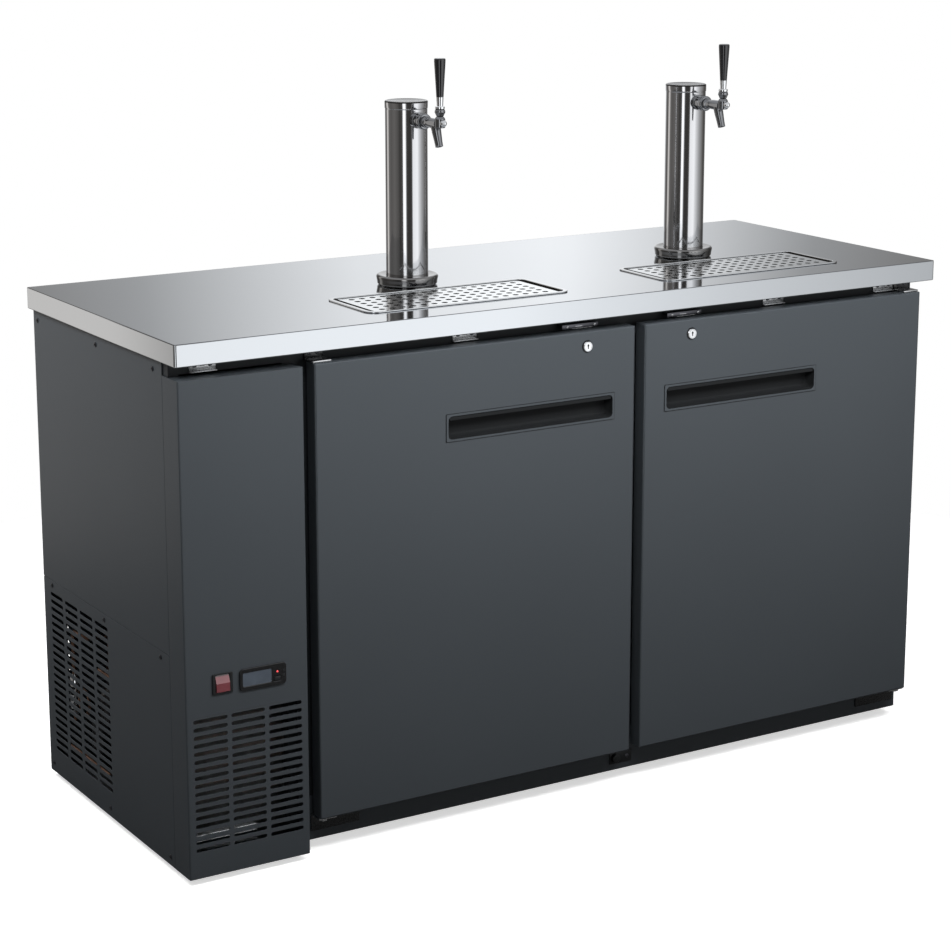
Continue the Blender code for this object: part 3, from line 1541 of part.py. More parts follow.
def cup_corners(side):
    """Low and high corners of a handle cup's body in the door panel."""
    near = free_edge(side) + side * CUP_EDGE_DISTANCE
    far = near + side * CUP_LENGTH
    low_x, high_x = sorted((near, far))
    top = door_top - CUP_TOP_DISTANCE
    inset = CUP_FRAME
    return (
        (low_x + inset, door_face, top - CUP_HEIGHT + inset),
        (high_x - inset, door_face + CUP_DEPTH + CUP_WALL, top - inset),
    )


def make_cup(name, corners, axis):
    """Recessed handle: a cup with a thin frame that lies on the door's face."""
    low, high = Vector(corners[0]), Vector(corners[1])
    frame = Vector((CUP_FRAME, 0, CUP_FRAME))
    wall = Vector((CUP_WALL, 0, CUP_WALL))
    face_low = Vector((low.x, door_face - GAP - CUP_PROUD, low.z)) - frame
    face_high = Vector((high.x, door_face - GAP, high.z)) + frame
    cup = add_part(
        f"door_handle_{name}",
        rounded_box(face_low, face_high, CUP_CORNER_RADIUS + CUP_FRAME, 1),
        black_plastic,
        axis,
    )
    body_low = Vector((low.x, door_face - GAP - CUP_PROUD / 2, low.z))
    join(cup, rounded_box(body_low, high, CUP_CORNER_RADIUS, 1), "body")
    room_low = Vector((low.x, door_face - CUT, low.z)) + wall
    room_high = Vector((high.x, high.y - CUP_WALL, high.z)) - wall
    cut(cup, rounded_box(room_low, room_high, CUP_CORNER_RADIUS - CUP_WALL, 1), "room")


def make_lock(name, side, x):
    """Cam lock: a round plug with a keyway, its barrel through the door and its cam behind."""
    head_back = door_face - GAP
    head_front = head_back - LOCK_PROUD
    cam_back = panel_back - RUNNING_GAP
    lock = add_part(
        f"door_lock_{name}",
        rod_mesh((x, head_front, lock_z), (x, head_back, lock_z), LOCK_RADIUS, sides=ROUND_SIDES),
        polished,
        (x, door_face, lock_z),
    )
    barrel_ends = (x, head_front + LOCK_PROUD / 2, lock_z), (x, cam_back, lock_z)
    barrel = rod_mesh(*barrel_ends, LOCK_BARREL_RADIUS, sides=PIN_SIDES)
    join(lock, barrel, "barrel")
    low_x, high_x = sorted((x - side * CAM_WIDTH / 2, x + side * CAM_LENGTH))
    cam = rounded_box(
        (low_x, cam_back - CAM_THICKNESS, lock_z - CAM_WIDTH / 2),
        (high_x, cam_back, lock_z + CAM_WIDTH / 2),
        CAM_ROUNDING,
        1,
        EDGE_STEPS,
    )
    join(lock, cam, "cam")
    keyway_ends = head_front - CUT, head_front + KEYWAY_DEPTH
    keyway = front_box(x, lock_z, KEYWAY_WIDTH, KEYWAY_HEIGHT, *keyway_ends)
    cut(lock, box_mesh(keyway), "keyway")


def make_hinges(side):
    """Upper and lower hinge brackets: a flange on the cabinet, a leaf and a pin each."""
    name = side_name(side)
    x = hinge_x(side)
    outer = free_edge(side) + side * door_width
    inner = outer - side * HINGE_FLANGE_WIDTH
    leaf_inner = outer - side * HINGE_LEAF_WIDTH
    flange_low, flange_high = sorted((outer, inner))
    leaf_low, leaf_high = sorted((outer, leaf_inner))
    flange_back = frame_plane - GAP
    leaf_front = hinge_y - HINGE_LEAF_MARGIN
    lower_top = door_bottom - GAP
    lower = add_part(
        f"lower_hinge_{name}",
        box_mesh(
            (
                (flange_low, flange_back - HINGE_PLATE, lower_top - HINGE_FLANGE_HEIGHT),
                (flange_high, flange_back, lower_top),
            )
        ),
        polished,
    )
    leaf = box_mesh(((leaf_low, leaf_front, lower_top - HINGE_PLATE), (leaf_high, flange_back, lower_top)))
    join(lower, leaf, "leaf")
    pin = rod_mesh(
        (x, hinge_y, lower_top - HINGE_PLATE / 2),
        (x, hinge_y, lower_top + HINGE_PIN_LENGTH),
        HINGE_PIN_RADIUS,
        sides=PIN_SIDES,
    )
    join(lower, pin, "pin")
    upper_bottom = door_top + GAP
    upper = add_part(
        f"upper_hinge_{name}",
        box_mesh(
            (
                (leaf_low, flange_back - HINGE_PLATE, upper_bottom),
                (leaf_high, flange_back, upper_bottom + HINGE_TOP_FLANGE_HEIGHT),
            )
        ),
        polished,
    )
    top_leaf = box_mesh(
        ((leaf_low, leaf_front, upper_bottom), (leaf_high, flange_back, upper_bottom + HINGE_PLATE))
    )
    join(upper, top_leaf, "leaf")
    top_pin = rod_mesh(
        (x, hinge_y, upper_bottom - HINGE_PIN_LENGTH),
        (x, hinge_y, upper_bottom + HINGE_PLATE / 2),
        HINGE_PIN_RADIUS,
        sides=PIN_SIDES,
    )
    join(upper, top_pin, "pin")


def make_controller():
    """Digital controller with a recessed window and one sprung key."""
    x = cabinet_left + CONTROLLER_X_INSET
    front = door_face - GAP - CONTROLLER_PROUD
    bezel = front_box(x, CONTROLLER_Z, CONTROLLER_LENGTH, CONTROLLER_HEIGHT, front, door_face - GAP)
    controller = add_part(
        "controller",
        rounded_box(*bezel, CONTROLLER_CORNER_RADIUS, 1),
        gloss_black,
    )
    body = front_box(
        x,
        CONTROLLER_Z,
        CONTROLLER_BODY_LENGTH,
        CONTROLLER_BODY_HEIGHT,
        front + CONTROLLER_PROUD / 2,
        door_face + CONTROLLER_BODY_DEPTH,
    )
    join(controller, box_mesh(body), "body")
    window = front_box(
        x - WINDOW_SHIFT, CONTROLLER_Z, WINDOW_LENGTH, WINDOW_HEIGHT, front - CUT, front + WINDOW_RECESS
    )
    cut(controller, box_mesh(window), "window")
    key_x = x + KEY_SHIFT
    key_z = CONTROLLER_Z - KEY_DROP
    key_back = front + KEY_DEPTH
    room = 2 * RUNNING_GAP
    pocket = front_box(
        key_x, key_z, KEY_LENGTH + room, KEY_HEIGHT + room, front - CUT, key_back + KEY_TRAVEL + GAP
    )
    cut(controller, box_mesh(pocket), "key_pocket")
    key = front_box(key_x, key_z, KEY_LENGTH, KEY_HEIGHT, front - KEY_PROUD, key_back)
    key_shape = rounded_box(*key, KEY_CORNER_RADIUS, 1, EDGE_STEPS)
    add_part("controller_key", key_shape, black_plastic, (key_x, front, key_z))


def make_switch():
    """Power switch: a housing with a frame, and a red rocker that tips about its middle."""
    x = cabinet_left + SWITCH_X_INSET
    front = door_face - GAP - SWITCH_PROUD
    rear = door_face + SWITCH_BODY_DEPTH
    housing = add_part(
        "power_switch_housing",
        rounded_box(
            *front_box(x, SWITCH_Z, SWITCH_LENGTH, SWITCH_HEIGHT, front, door_face - GAP),
            SWITCH_PROUD / 2,
            1,
            EDGE_STEPS,
        ),
        black_plastic,
    )
    body = front_box(
        x,
        SWITCH_Z,
        SWITCH_LENGTH - 2 * SWITCH_BODY_INSET,
        SWITCH_HEIGHT - SWITCH_BODY_INSET,
        front + SWITCH_PROUD / 2,
        rear,
    )
    join(housing, box_mesh(body), "body")
    room = 2 * ROCKER_CLEARANCE
    pocket = front_box(
        x, SWITCH_Z, ROCKER_LENGTH + room, ROCKER_HEIGHT + room, front - CUT, door_face + ROCKER_POCKET_DEPTH
    )
    cut(housing, box_mesh(pocket), "pocket")
    axle_reach = ROCKER_LENGTH / 2 + ROCKER_CLEARANCE + ROCKER_AXLE_DEPTH
    axle_room = rod_mesh(
        (x - axle_reach, door_face, SWITCH_Z),
        (x + axle_reach, door_face, SWITCH_Z),
        ROCKER_AXLE_RADIUS + RUNNING_GAP / 2,
        sides=PIN_SIDES,
    )
    cut(housing, axle_room, "axle_room")
    make_rocker(x, axle_reach)


def make_rocker(x, axle_reach):
    """The rocker, an extruded outline with two sloping faces, pressed in at its top."""
    half = ROCKER_HEIGHT / 2
    slope = half * math.tan(ROCKER_TILT)
    outline = [
        (-ROCKER_PROUD, 0),
        (-ROCKER_PROUD + slope, -half),
        (0, -half),
        (ROCKER_BACK, -ROCKER_BACK_HEIGHT / 2),
        (ROCKER_BACK, ROCKER_BACK_HEIGHT / 2),
        (0, half),
        (-ROCKER_PROUD + slope, half),
    ]
    bm = bmesh.new()
    start = -ROCKER_LENGTH / 2
    face = bm.faces.new([bm.verts.new((start, y, z)) for y, z in outline])
    grown = bmesh.ops.extrude_face_region(bm, geom=[face])
    moved = [item for item in grown["geom"] if isinstance(item, bmesh.types.BMVert)]
    bmesh.ops.translate(bm, verts=moved, vec=(ROCKER_LENGTH, 0, 0))
    bmesh.ops.recalc_face_normals(bm, faces=bm.faces)
    bmesh.ops.rotate(bm, verts=bm.verts, cent=(0, 0, 0), matrix=Matrix.Rotation(-ROCKER_TILT, 3, "X"))
    rocker = link_mesh("power_switch_rocker", bm, parts, red_plastic, (x, door_face, SWITCH_Z))
    axle = rod_mesh(
        (x - axle_reach + RUNNING_GAP, door_face, SWITCH_Z),
        (x + axle_reach - RUNNING_GAP, door_face, SWITCH_Z),
        ROCKER_AXLE_RADIUS,
        sides=PIN_SIDES,
    )
    join(rocker, axle, "axle")


def make_kegerator():
    """Makes every part."""
    make_worktop()
    make_cabinet()
    make_machine_frame()
    make_side_panels()
    make_front_panel()
    make_base_and_rear()
    make_condensing_unit()
    make_blower()
    make_feet()
    make_controller()
    make_switch()
    for side in (-1, 1):
        make_drip_tray(side)
        make_tower(side)
        make_door(side)
        make_hinges(side)


make_kegerator()
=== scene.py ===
"""Dresses the packed kegerator: finishes for every surface, and detailed pieces over the plain solids.

Lengths are in metres. The front faces -Y, X runs along the worktop and Z is up.
"""

import json
import math

import bmesh
import bpy
from mathutils import Matrix, Vector


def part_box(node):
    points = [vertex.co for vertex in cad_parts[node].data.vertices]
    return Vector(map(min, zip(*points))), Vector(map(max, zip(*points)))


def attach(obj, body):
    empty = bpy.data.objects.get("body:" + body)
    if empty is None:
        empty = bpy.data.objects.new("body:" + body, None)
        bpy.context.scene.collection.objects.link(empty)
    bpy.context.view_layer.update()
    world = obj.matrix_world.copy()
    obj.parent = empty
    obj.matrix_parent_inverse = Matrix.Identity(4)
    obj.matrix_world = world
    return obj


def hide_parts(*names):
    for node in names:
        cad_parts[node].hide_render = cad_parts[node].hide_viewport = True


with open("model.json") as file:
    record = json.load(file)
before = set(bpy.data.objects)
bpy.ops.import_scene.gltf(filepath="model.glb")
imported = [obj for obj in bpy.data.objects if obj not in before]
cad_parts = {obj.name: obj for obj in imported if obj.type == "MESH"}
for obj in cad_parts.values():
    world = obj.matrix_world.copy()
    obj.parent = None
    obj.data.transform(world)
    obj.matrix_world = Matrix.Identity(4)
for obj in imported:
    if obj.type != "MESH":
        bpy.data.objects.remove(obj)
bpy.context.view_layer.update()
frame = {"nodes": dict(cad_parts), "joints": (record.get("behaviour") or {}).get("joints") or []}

bl_info = {
    "name": "Kegerator dressing",
    "version": (1, 0, 0),
    "blender": (4, 5, 0),
    "location": "3D View > Sidebar > Kegerator",
    "description": "Builds the detailed pieces, finishes and studio of a two-tap kegerator",
    "category": "Object",
}

SIDES = ("left", "right")
FINISHES = {}
FRONT_TURN = Matrix(((1, 0, 0, 0), (0, 0, -1, 0), (0, 1, 0, 0), (0, 0, 0, 1)))
SIDE_TURN = Matrix(((0, 0, 1, 0), (1, 0, 0, 0), (0, 1, 0, 0), (0, 0, 0, 1)))
FACING_FRONT = Matrix.Rotation(math.pi / 2, 4, "X")
FACING_LEFT = Matrix.Rotation(-math.pi / 2, 4, "Y")
FACING_RIGHT = Matrix.Rotation(math.pi / 2, 4, "Y")
FACING_REAR = Matrix.Rotation(-math.pi / 2, 4, "X")
MERGE = 0.000002
HUB_RISE = 0.0065  # the lever's pivot over the shank's axis
CONTROL_Z = 0.337  # middle height of the controller's face
CONTROL_HALF_HEIGHT = 0.0185
STRIKE_FRONT = -0.2670
STRIKE_Z = 0.8485
PHOTO_PIXELS = 951
LENS_PIXELS = 2465
FLOOR_RADIUS = 2.0
FLOOR_GLOW = 0.62
WALL_RADIUS = 3.2


class KegeratorSizes(bpy.types.PropertyGroup):
    """Sizes of the details that a user may change."""

    worktop_thickness: bpy.props.FloatProperty(
        name="Worktop thickness", description="Height of the worktop's folded edge", default=0.037, unit="LENGTH"
    )
    fold_radius: bpy.props.FloatProperty(
        name="Fold radius", description="Rounding of the worktop's folded edges", default=0.0016, unit="LENGTH"
    )
    sheet: bpy.props.FloatProperty(
        name="Sheet thickness", description="Thickness of the coated steel panels", default=0.0015, unit="LENGTH"
    )
    door_rounding: bpy.props.FloatProperty(
        name="Door edge rounding", description="Rounding of the doors' outer edges", default=0.0025, unit="LENGTH"
    )
    slot_height: bpy.props.FloatProperty(
        name="Slot height", description="Height of the vent slots", default=0.0070, unit="LENGTH"
    )
    hole_diameter: bpy.props.FloatProperty(
        name="Grille hole", description="Diameter of the drip grille's holes", default=0.0110, unit="LENGTH"
    )
    fins: bpy.props.IntProperty(name="Condenser fins", description="Number of fins on the condenser", default=64)


class KegeratorColours(bpy.types.PropertyGroup):
    """Colours that a user may change."""

    coated: bpy.props.FloatVectorProperty(
        name="Coated steel", description="Colour of the cabinet and doors", subtype="COLOR",
        default=(0.052, 0.060, 0.068),
    )
    steel: bpy.props.FloatVectorProperty(
        name="Worktop steel", description="Colour of the stainless worktop", subtype="COLOR", default=(0.60, 0.62, 0.64)
    )
    polished: bpy.props.FloatVectorProperty(
        name="Polished steel", description="Colour of the towers and faucets", subtype="COLOR",
        default=(0.62, 0.62, 0.63),
    )
    rocker: bpy.props.FloatVectorProperty(
        name="Rocker", description="Colour of the power switch's rocker", subtype="COLOR", default=(0.20, 0.045, 0.055)
    )


def sizes():
    return bpy.context.scene.kegerator_sizes


def colours():
    return bpy.context.scene.kegerator_colours


def put(node, **values):
    """Sets sockets of a node by name; an underscore stands for a space."""
    for name, value in values.items():
        node.inputs[name.replace("_", " ")].default_value = value


def new_node(tree, kind, **values):
    """Adds a shader node and sets its sockets."""
    node = tree.nodes.new("ShaderNode" + kind)
    put(node, **values)
    return node


def colour_mix(tree, first, second):
    """Adds a node that blends two colours by its first socket."""
    mix = tree.nodes.new("ShaderNodeMix")
    mix.data_type = "RGBA"
    mix.inputs[6].default_value, mix.inputs[7].default_value = (*first, 1), (*second, 1)
    return mix


def math_output(tree, operation, first, second):
    """Adds a math node on a socket and on a second socket or number, and returns its output."""
    node = tree.nodes.new("ShaderNodeMath")
    node.operation = operation
    tree.links.new(first, node.inputs[0])
    if isinstance(second, float):
        node.inputs[1].default_value = second
    else:
        tree.links.new(second, node.inputs[1])
    return node.outputs[0]


def finish(
    name, colour, metallic, roughness, spread, grain, bump, blotch=5.0, shade=0.1, coat=0.0, specular=0.5, spangle=0.0
):
    """A procedural finish: a fine grain in roughness and relief, and a wide, weak change of tone."""
    material = bpy.data.materials.new(name)
    material.use_nodes = True
    tree = material.node_tree
    link, shader = tree.links.new, tree.nodes["Principled BSDF"]
    put(shader, Metallic=metallic, Coat_Weight=coat, Coat_Roughness=0.06, Specular_IOR_Level=specular)
    place = new_node(tree, "TexCoord").outputs["Object"]
    mapping = new_node(tree, "Mapping", Scale=grain if isinstance(grain, tuple) else (grain,) * 3)
    link(place, mapping.inputs["Vector"])
    fine = new_node(tree, "TexNoise", Scale=1.0, Detail=4.0)
    link(mapping.outputs["Vector"], fine.inputs["Vector"])
    wide = new_node(tree, "TexNoise", Scale=blotch, Detail=2.0)
    link(place, wide.inputs["Vector"])
    tone = wide.outputs[0]
    if spangle:
        cells = new_node(tree, "TexVoronoi", Scale=spangle)
        link(place, cells.inputs["Vector"])
        tone = cells.outputs["Color"]
    mix = colour_mix(tree, [c * (1 - shade) for c in colour], [min(1.0, c * (1 + shade)) for c in colour])
    link(tone, mix.inputs[0])
    link(mix.outputs[2], shader.inputs["Base Color"])
    rough = new_node(tree, "MapRange", From_Min=0.3, From_Max=0.7)
    put(rough, To_Min=max(0.0, roughness - spread), To_Max=roughness + spread)
    link(fine.outputs[0], rough.inputs["Value"])
    link(rough.outputs["Result"], shader.inputs["Roughness"])
    relief = new_node(tree, "Bump", Strength=bump, Distance=0.0002)
    link(fine.outputs[0], relief.inputs["Height"])
    link(relief.outputs["Normal"], shader.inputs["Normal"])
    FINISHES[name] = material
    return material


def make_finishes():
    """All the finishes of the object."""
    tones = colours()
    coated, steel, polished = tuple(tones.coated), tuple(tones.steel), tuple(tones.polished)
    finish("coated_steel", coated, 0.0, 0.42, 0.05, 900, 0.35, 3.0, 0.06, specular=0.32)
    finish("coated_steel_inner", (0.022, 0.025, 0.028), 0.0, 0.5, 0.06, 700, 0.3, 5.0, 0.1, specular=0.3)
    finish("worktop_steel", steel, 1.0, 0.07, 0.02, (6, 420, 420), 0.05, 3.0, 0.03)
    finish("tray_steel", (0.70, 0.71, 0.72), 1.0, 0.09, 0.03, (10, 500, 500), 0.06, 8.0, 0.04)
    # painted shade: the tray's well is the same steel as the rim, given a near-black non-metal finish for the shade
    # under the grille
    finish("tray_well_painted_shade", (0.014, 0.013, 0.012), 0.0, 0.45, 0.05, (10, 500, 500), 0.06, 8.0, 0.08, specular=0.12)
    finish("flange_steel", (0.27, 0.265, 0.26), 1.0, 0.09, 0.02, (420, 420, 5), 0.04, 6.0, 0.04)
    finish("cup_black", (0.014, 0.015, 0.016), 0.0, 0.55, 0.06, 1200, 0.3, 12.0, 0.12, specular=0.12)
    finish("clip_steel", (0.50, 0.505, 0.51), 1.0, 0.28, 0.06, 300, 0.05, 30.0, 0.06)
    finish("hinge_steel", (0.62, 0.625, 0.63), 1.0, 0.24, 0.06, 400, 0.06, 30.0, 0.10)
    finish("grille_steel", (0.86, 0.88, 0.89), 1.0, 0.17, 0.04, (12, 600, 600), 0.10, 9.0, 0.05)
    finish("polished_steel", polished, 1.0, 0.07, 0.02, (420, 420, 5), 0.04, 6.0, 0.03)
    # painted reflection: a near-black metal for the top of the polished cap, standing in for the dark it reflects
    finish("cap_top_painted_reflection", (0.045, 0.042, 0.040), 1.0, 0.18, 0.03, 300, 0.03, 12.0, 0.06)
    finish("faucet_chrome", (0.26, 0.265, 0.275), 1.0, 0.06, 0.015, 300, 0.02, 20.0, 0.04)
    finish("bright_chrome", (0.86, 0.87, 0.88), 1.0, 0.08, 0.02, 400, 0.03, 20.0, 0.03)
    finish("black_plastic", (0.014, 0.015, 0.016), 0.0, 0.36, 0.06, 1400, 0.4, 12.0, 0.12, specular=0.3)
    finish("gloss_black", (0.006, 0.006, 0.007), 0.0, 0.10, 0.03, 500, 0.02, 12.0, 0.15, coat=0.6)
    finish("window_glass", (0.085, 0.105, 0.135), 0.0, 0.08, 0.02, 300, 0.02, 60.0, 0.25, coat=1.0)
    # painted shade: a near-black finish put in screw recesses, keyways, the spout's bore, the nut's slots, the lever's
    # gap and round the lock, where only shade falls
    finish("painted_hole_shade", (0.004, 0.004, 0.005), 0.0, 0.6, 0.1, 900, 0.2, 30.0, 0.2, specular=0.2)
    finish("red_rocker", tuple(tones.rocker), 0.0, 0.16, 0.04, 800, 0.05, 60.0, 0.25, coat=1.0)
    finish("white_liner", (0.74, 0.745, 0.74), 0.0, 0.42, 0.06, 500, 0.2, 4.0, 0.03)
    finish("liner_sheet", (0.58, 0.59, 0.60), 1.0, 0.36, 0.07, 90, 0.35, 7.0, 0.06)
    finish("gasket_rubber", (0.035, 0.036, 0.038), 0.0, 0.6, 0.08, 600, 0.3, 10.0, 0.1, specular=0.3)
    finish("fin_aluminium", (0.66, 0.67, 0.68), 1.0, 0.34, 0.07, (60, 60, 700), 0.15, 12.0, 0.08)
    finish("copper_tube", (0.34, 0.19, 0.13), 1.0, 0.34, 0.07, 200, 0.08, 20.0, 0.15)
    finish("galvanised", (0.50, 0.51, 0.52), 1.0, 0.40, 0.09, 260, 0.12, 6.0, 0.14, spangle=70.0)
    finish("machine_paint", (0.012, 0.012, 0.013), 0.0, 0.26, 0.06, 500, 0.25, 9.0, 0.12, coat=0.3)
    finish("screw_steel", (0.10, 0.10, 0.11), 1.0, 0.32, 0.08, 500, 0.08, 40.0, 0.1)
    lamp = finish("red_lamp", (0.75, 0.04, 0.05), 0.0, 0.2, 0.04, 500, 0.02, 60.0, 0.1, coat=0.5)
    put(lamp.node_tree.nodes["Principled BSDF"], Emission_Color=(1.0, 0.10, 0.10, 1), Emission_Strength=1.2)


NODE_FINISHES = {
    "coated_steel": (
        "worktop", "cabinet_floor", "back_wall", "right_wall", "upper_side_panel",
        "side_vent_panel", "front_vent_panel", "rear_vent_panel", "door_panel_left", "door_panel_right",
    ),
    "coated_steel_inner": ("divider_wall", "centre_mullion", "machine_frame", "cabinet_roof"),
    "galvanised": ("base_pan", "fan_shroud", "evaporator_cover"),
    "fin_aluminium": ("condenser_coil", "evaporator_coil"),
    "machine_paint": ("compressor",),
    "gloss_black": ("controller", "tap_handle_left", "tap_handle_right"),
    "red_rocker": ("power_switch_rocker",),
    "white_liner": ("door_liner_left", "door_liner_right"),
    "gasket_rubber": ("door_gasket_left", "door_gasket_right"),
    "black_plastic": ("condenser_fan", "evaporator_fan", "controller_key", "power_switch_housing"),
}


def dress_nodes():
    """Gives every node of the frame its finish."""
    given = {node: FINISHES[name] for name, nodes in NODE_FINISHES.items() for node in nodes}
    for node, obj in frame["nodes"].items():
        material = given.get(node)
        if material is None:
            material = FINISHES["black_plastic" if node.startswith(("foot", "door_handle")) else "bright_chrome"]
        obj.data.materials.clear()
        obj.data.materials.append(material)


def piece(name, bm, finishes, body, replaced=(), angle=32, planar=False):
    """A finished piece made from a bmesh, which rides on its body and stands for some nodes."""
    bmesh.ops.remove_doubles(bm, verts=bm.verts, dist=MERGE)
    bmesh.ops.recalc_face_normals(bm, faces=bm.faces)
    mesh = bpy.data.meshes.new(name)
    bm.to_mesh(mesh)
    bm.free()
    for finish_name in [finishes] if isinstance(finishes, str) else finishes:
        mesh.materials.append(FINISHES[finish_name])
    mesh.shade_smooth()
    mesh.set_sharp_from_angle(angle=math.radians(angle))
    if planar:
        for polygon in mesh.polygons:
            polygon.use_smooth = max(abs(part) for part in polygon.normal) < 0.99999
    obj = bpy.data.objects.new(name, mesh)
    bpy.context.scene.collection.objects.link(obj)
    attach(obj, body)
    if replaced:
        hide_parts(*replaced)
    return obj


def add(target, source, matrix=None, index=0):
    """Adds one bmesh to another, moved by a matrix and given a material index, and frees it."""
    if matrix is not None:
        bmesh.ops.transform(source, matrix=matrix, verts=source.verts)
    for face in source.faces:
        face.material_index = index
    mesh = bpy.data.meshes.new("joined")
    source.to_mesh(mesh)
    source.free()
    target.from_mesh(mesh)
    bpy.data.meshes.remove(mesh)


def rounded_outline(low, high, radius, steps=5):
    """Points of a rounded rectangle, counter-clockwise."""
    points = []
    corners = (
        (high[0] - radius, low[1] + radius, -90),
        (high[0] - radius, high[1] - radius, 0),
        (low[0] + radius, high[1] - radius, 90),
        (low[0] + radius, low[1] + radius, 180),
    )
    for x, y, start in corners:
        for step in range(steps + 1):
            angle = math.radians(start + 90 * step / steps)
            points.append((x + radius * math.cos(angle), y + radius * math.sin(angle)))
    return points


def front_outline(low, high, inset, radius, steps):
    """A rounded rectangle over the front of a box, drawn in from its edges."""
    return rounded_outline((low.x + inset, low.z + inset), (high.x - inset, high.z - inset), radius, steps)


def window_outline(middle, half_width, half_height, radius, steps):
    """A rounded rectangle round a middle, seen from the front."""
    low, high = (middle.x - half_width, middle.z - half_height), (middle.x + half_width, middle.z + half_height)
    return rounded_outline(low, high, radius, steps)


def round_outline(x, y, radius, sides):
    """Points of a circle, counter-clockwise."""
    turns = [math.tau * (step + 0.5) / sides for step in range(sides)]
    return [(x + radius * math.cos(turn), y + radius * math.sin(turn)) for turn in turns]


def plate(outlines, thickness, rounding=0.0, steps=1):
    """A bmesh of a flat plate in the XY plane: the first outline is its edge and the others are its holes."""
    curve = bpy.data.curves.new("plate", "CURVE")
    curve.dimensions = "2D"
    curve.fill_mode = "BOTH"
    curve.extrude = thickness / 2 - rounding
    curve.bevel_depth = rounding
    curve.bevel_resolution = steps
    curve.offset = -rounding
    for number, points in enumerate(outlines):
        spline = curve.splines.new("POLY")
        spline.points.add(len(points) - 1)
        ordered = points if number else points[::-1]
        for point, (x, y) in zip(spline.points, ordered):
            point.co = (x, y, 0, 1)
        spline.use_cyclic_u = True
    holder = bpy.data.objects.new("plate", curve)
    bpy.context.scene.collection.objects.link(holder)
    graph = bpy.context.evaluated_depsgraph_get()
    mesh = bpy.data.meshes.new_from_object(holder.evaluated_get(graph))
    bm = bmesh.new()
    bm.from_mesh(mesh)
    bpy.data.objects.remove(holder)
    bpy.data.curves.remove(curve)
    bpy.data.meshes.remove(mesh)
    bmesh.ops.remove_doubles(bm, verts=bm.verts, dist=MERGE)
    return bm


def add_front(bm, outlines, y, thickness, rounding=0.0, steps=1, index=0):
    """Adds an upright plate, parallel to the front, with its middle at y."""
    add(bm, plate(outlines, thickness, rounding, steps), at(0, y, 0, FRONT_TURN), index)


def block(low, high, rounding=0.0, steps=2):
    """A bmesh of a box with rounded edges."""
    size, middle = Vector(high) - Vector(low), (Vector(high) + Vector(low)) / 2
    bm = bmesh.new()
    bmesh.ops.create_cube(bm, size=1.0, matrix=Matrix.Translation(middle) @ Matrix.Diagonal((*size, 1.0)))
    if rounding:
        soften(bm, bm.edges, rounding, steps)
    return bm


def soften(bm, edges, width, steps=2):
    """Rounds edges of a bmesh."""
    bmesh.ops.bevel(
        bm, geom=list(edges), offset=width, segments=steps, profile=0.5, affect="EDGES", material=-1, clamp_overlap=True
    )


def turned(profile, place, sides=48):
    """A bmesh of a closed turned shape; its profile holds (radius, height) pairs, and place moves it."""
    bm = bmesh.new()
    verts = [bm.verts.new((radius, 0, height)) for radius, height in profile]
    edges = [bm.edges.new(pair) for pair in zip(verts, verts[1:])]
    if profile[0][0] > 0 and profile[0] != profile[-1]:
        edges.append(bm.edges.new((verts[-1], verts[0])))
    bmesh.ops.spin(
        bm, geom=verts + edges, cent=(0, 0, 0), axis=(0, 0, 1), angle=math.tau, steps=sides, use_merge=True
    )
    bmesh.ops.remove_doubles(bm, verts=bm.verts, dist=MERGE)
    bmesh.ops.transform(bm, matrix=place, verts=bm.verts)
    return bm


def arc(x, z, radius, start, end, steps=5):
    """Points of an arc in a profile, by angle in degrees."""
    turns = [math.radians(start + (end - start) * step / steps) for step in range(steps + 1)]
    return [(x + radius * math.cos(turn), z + radius * math.sin(turn)) for turn in turns]


def tube(points, radii, sides=24):
    """A bmesh of a round tube through points, with its ends capped."""
    bm = bmesh.new()
    rings = []
    for number, (point, radius) in enumerate(zip(points, radii)):
        before, after = points[max(0, number - 1)], points[min(len(points) - 1, number + 1)]
        turn = (Vector(after) - Vector(before)).to_track_quat("Z", "X").to_matrix().to_4x4()
        made = bmesh.ops.create_circle(
            bm, segments=sides, radius=radius, matrix=Matrix.Translation(point) @ turn
        )
        rings.append(list({edge for vert in made["verts"] for edge in vert.link_edges}))
    for first, second in zip(rings, rings[1:]):
        bmesh.ops.bridge_loops(bm, edges=first + second)
    bmesh.ops.contextual_create(bm, geom=rings[0])
    bmesh.ops.contextual_create(bm, geom=rings[-1])
    return bm


def at(x, y, z, turn=None):
    """A matrix that moves a shape, after a turn."""
    place = Matrix.Translation((x, y, z))
    return place @ turn if turn is not None else place


def add_screw(bm, place, radius, index=0, cross=1):
    """A pan-head screw with a cross recess; its head points along the place's Z."""
    head = radius * 0.45
    profile = [(0, head), *[(r, z * head) for r, z in ((radius * 0.45, 0.98), (radius * 0.8, 0.78), (radius, 0.3))]]
    profile += [(radius, 0), (0, 0)]
    add(bm, turned(profile, place, 16), None, index)
    # The cross recess is two thin raised bars in the material at index cross; where that is the hole finish, they paint
    # the recess's shade.
    for turn in (0, math.pi / 2):
        slot_shape = block((-radius * 0.55, -radius * 0.11, head * 0.6), (radius * 0.55, radius * 0.11, head * 1.04))
        add(bm, slot_shape, place @ Matrix.Rotation(turn, 4, "Z"), cross)


def centre_of(node):
    low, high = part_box(node)
    return (low + high) / 2


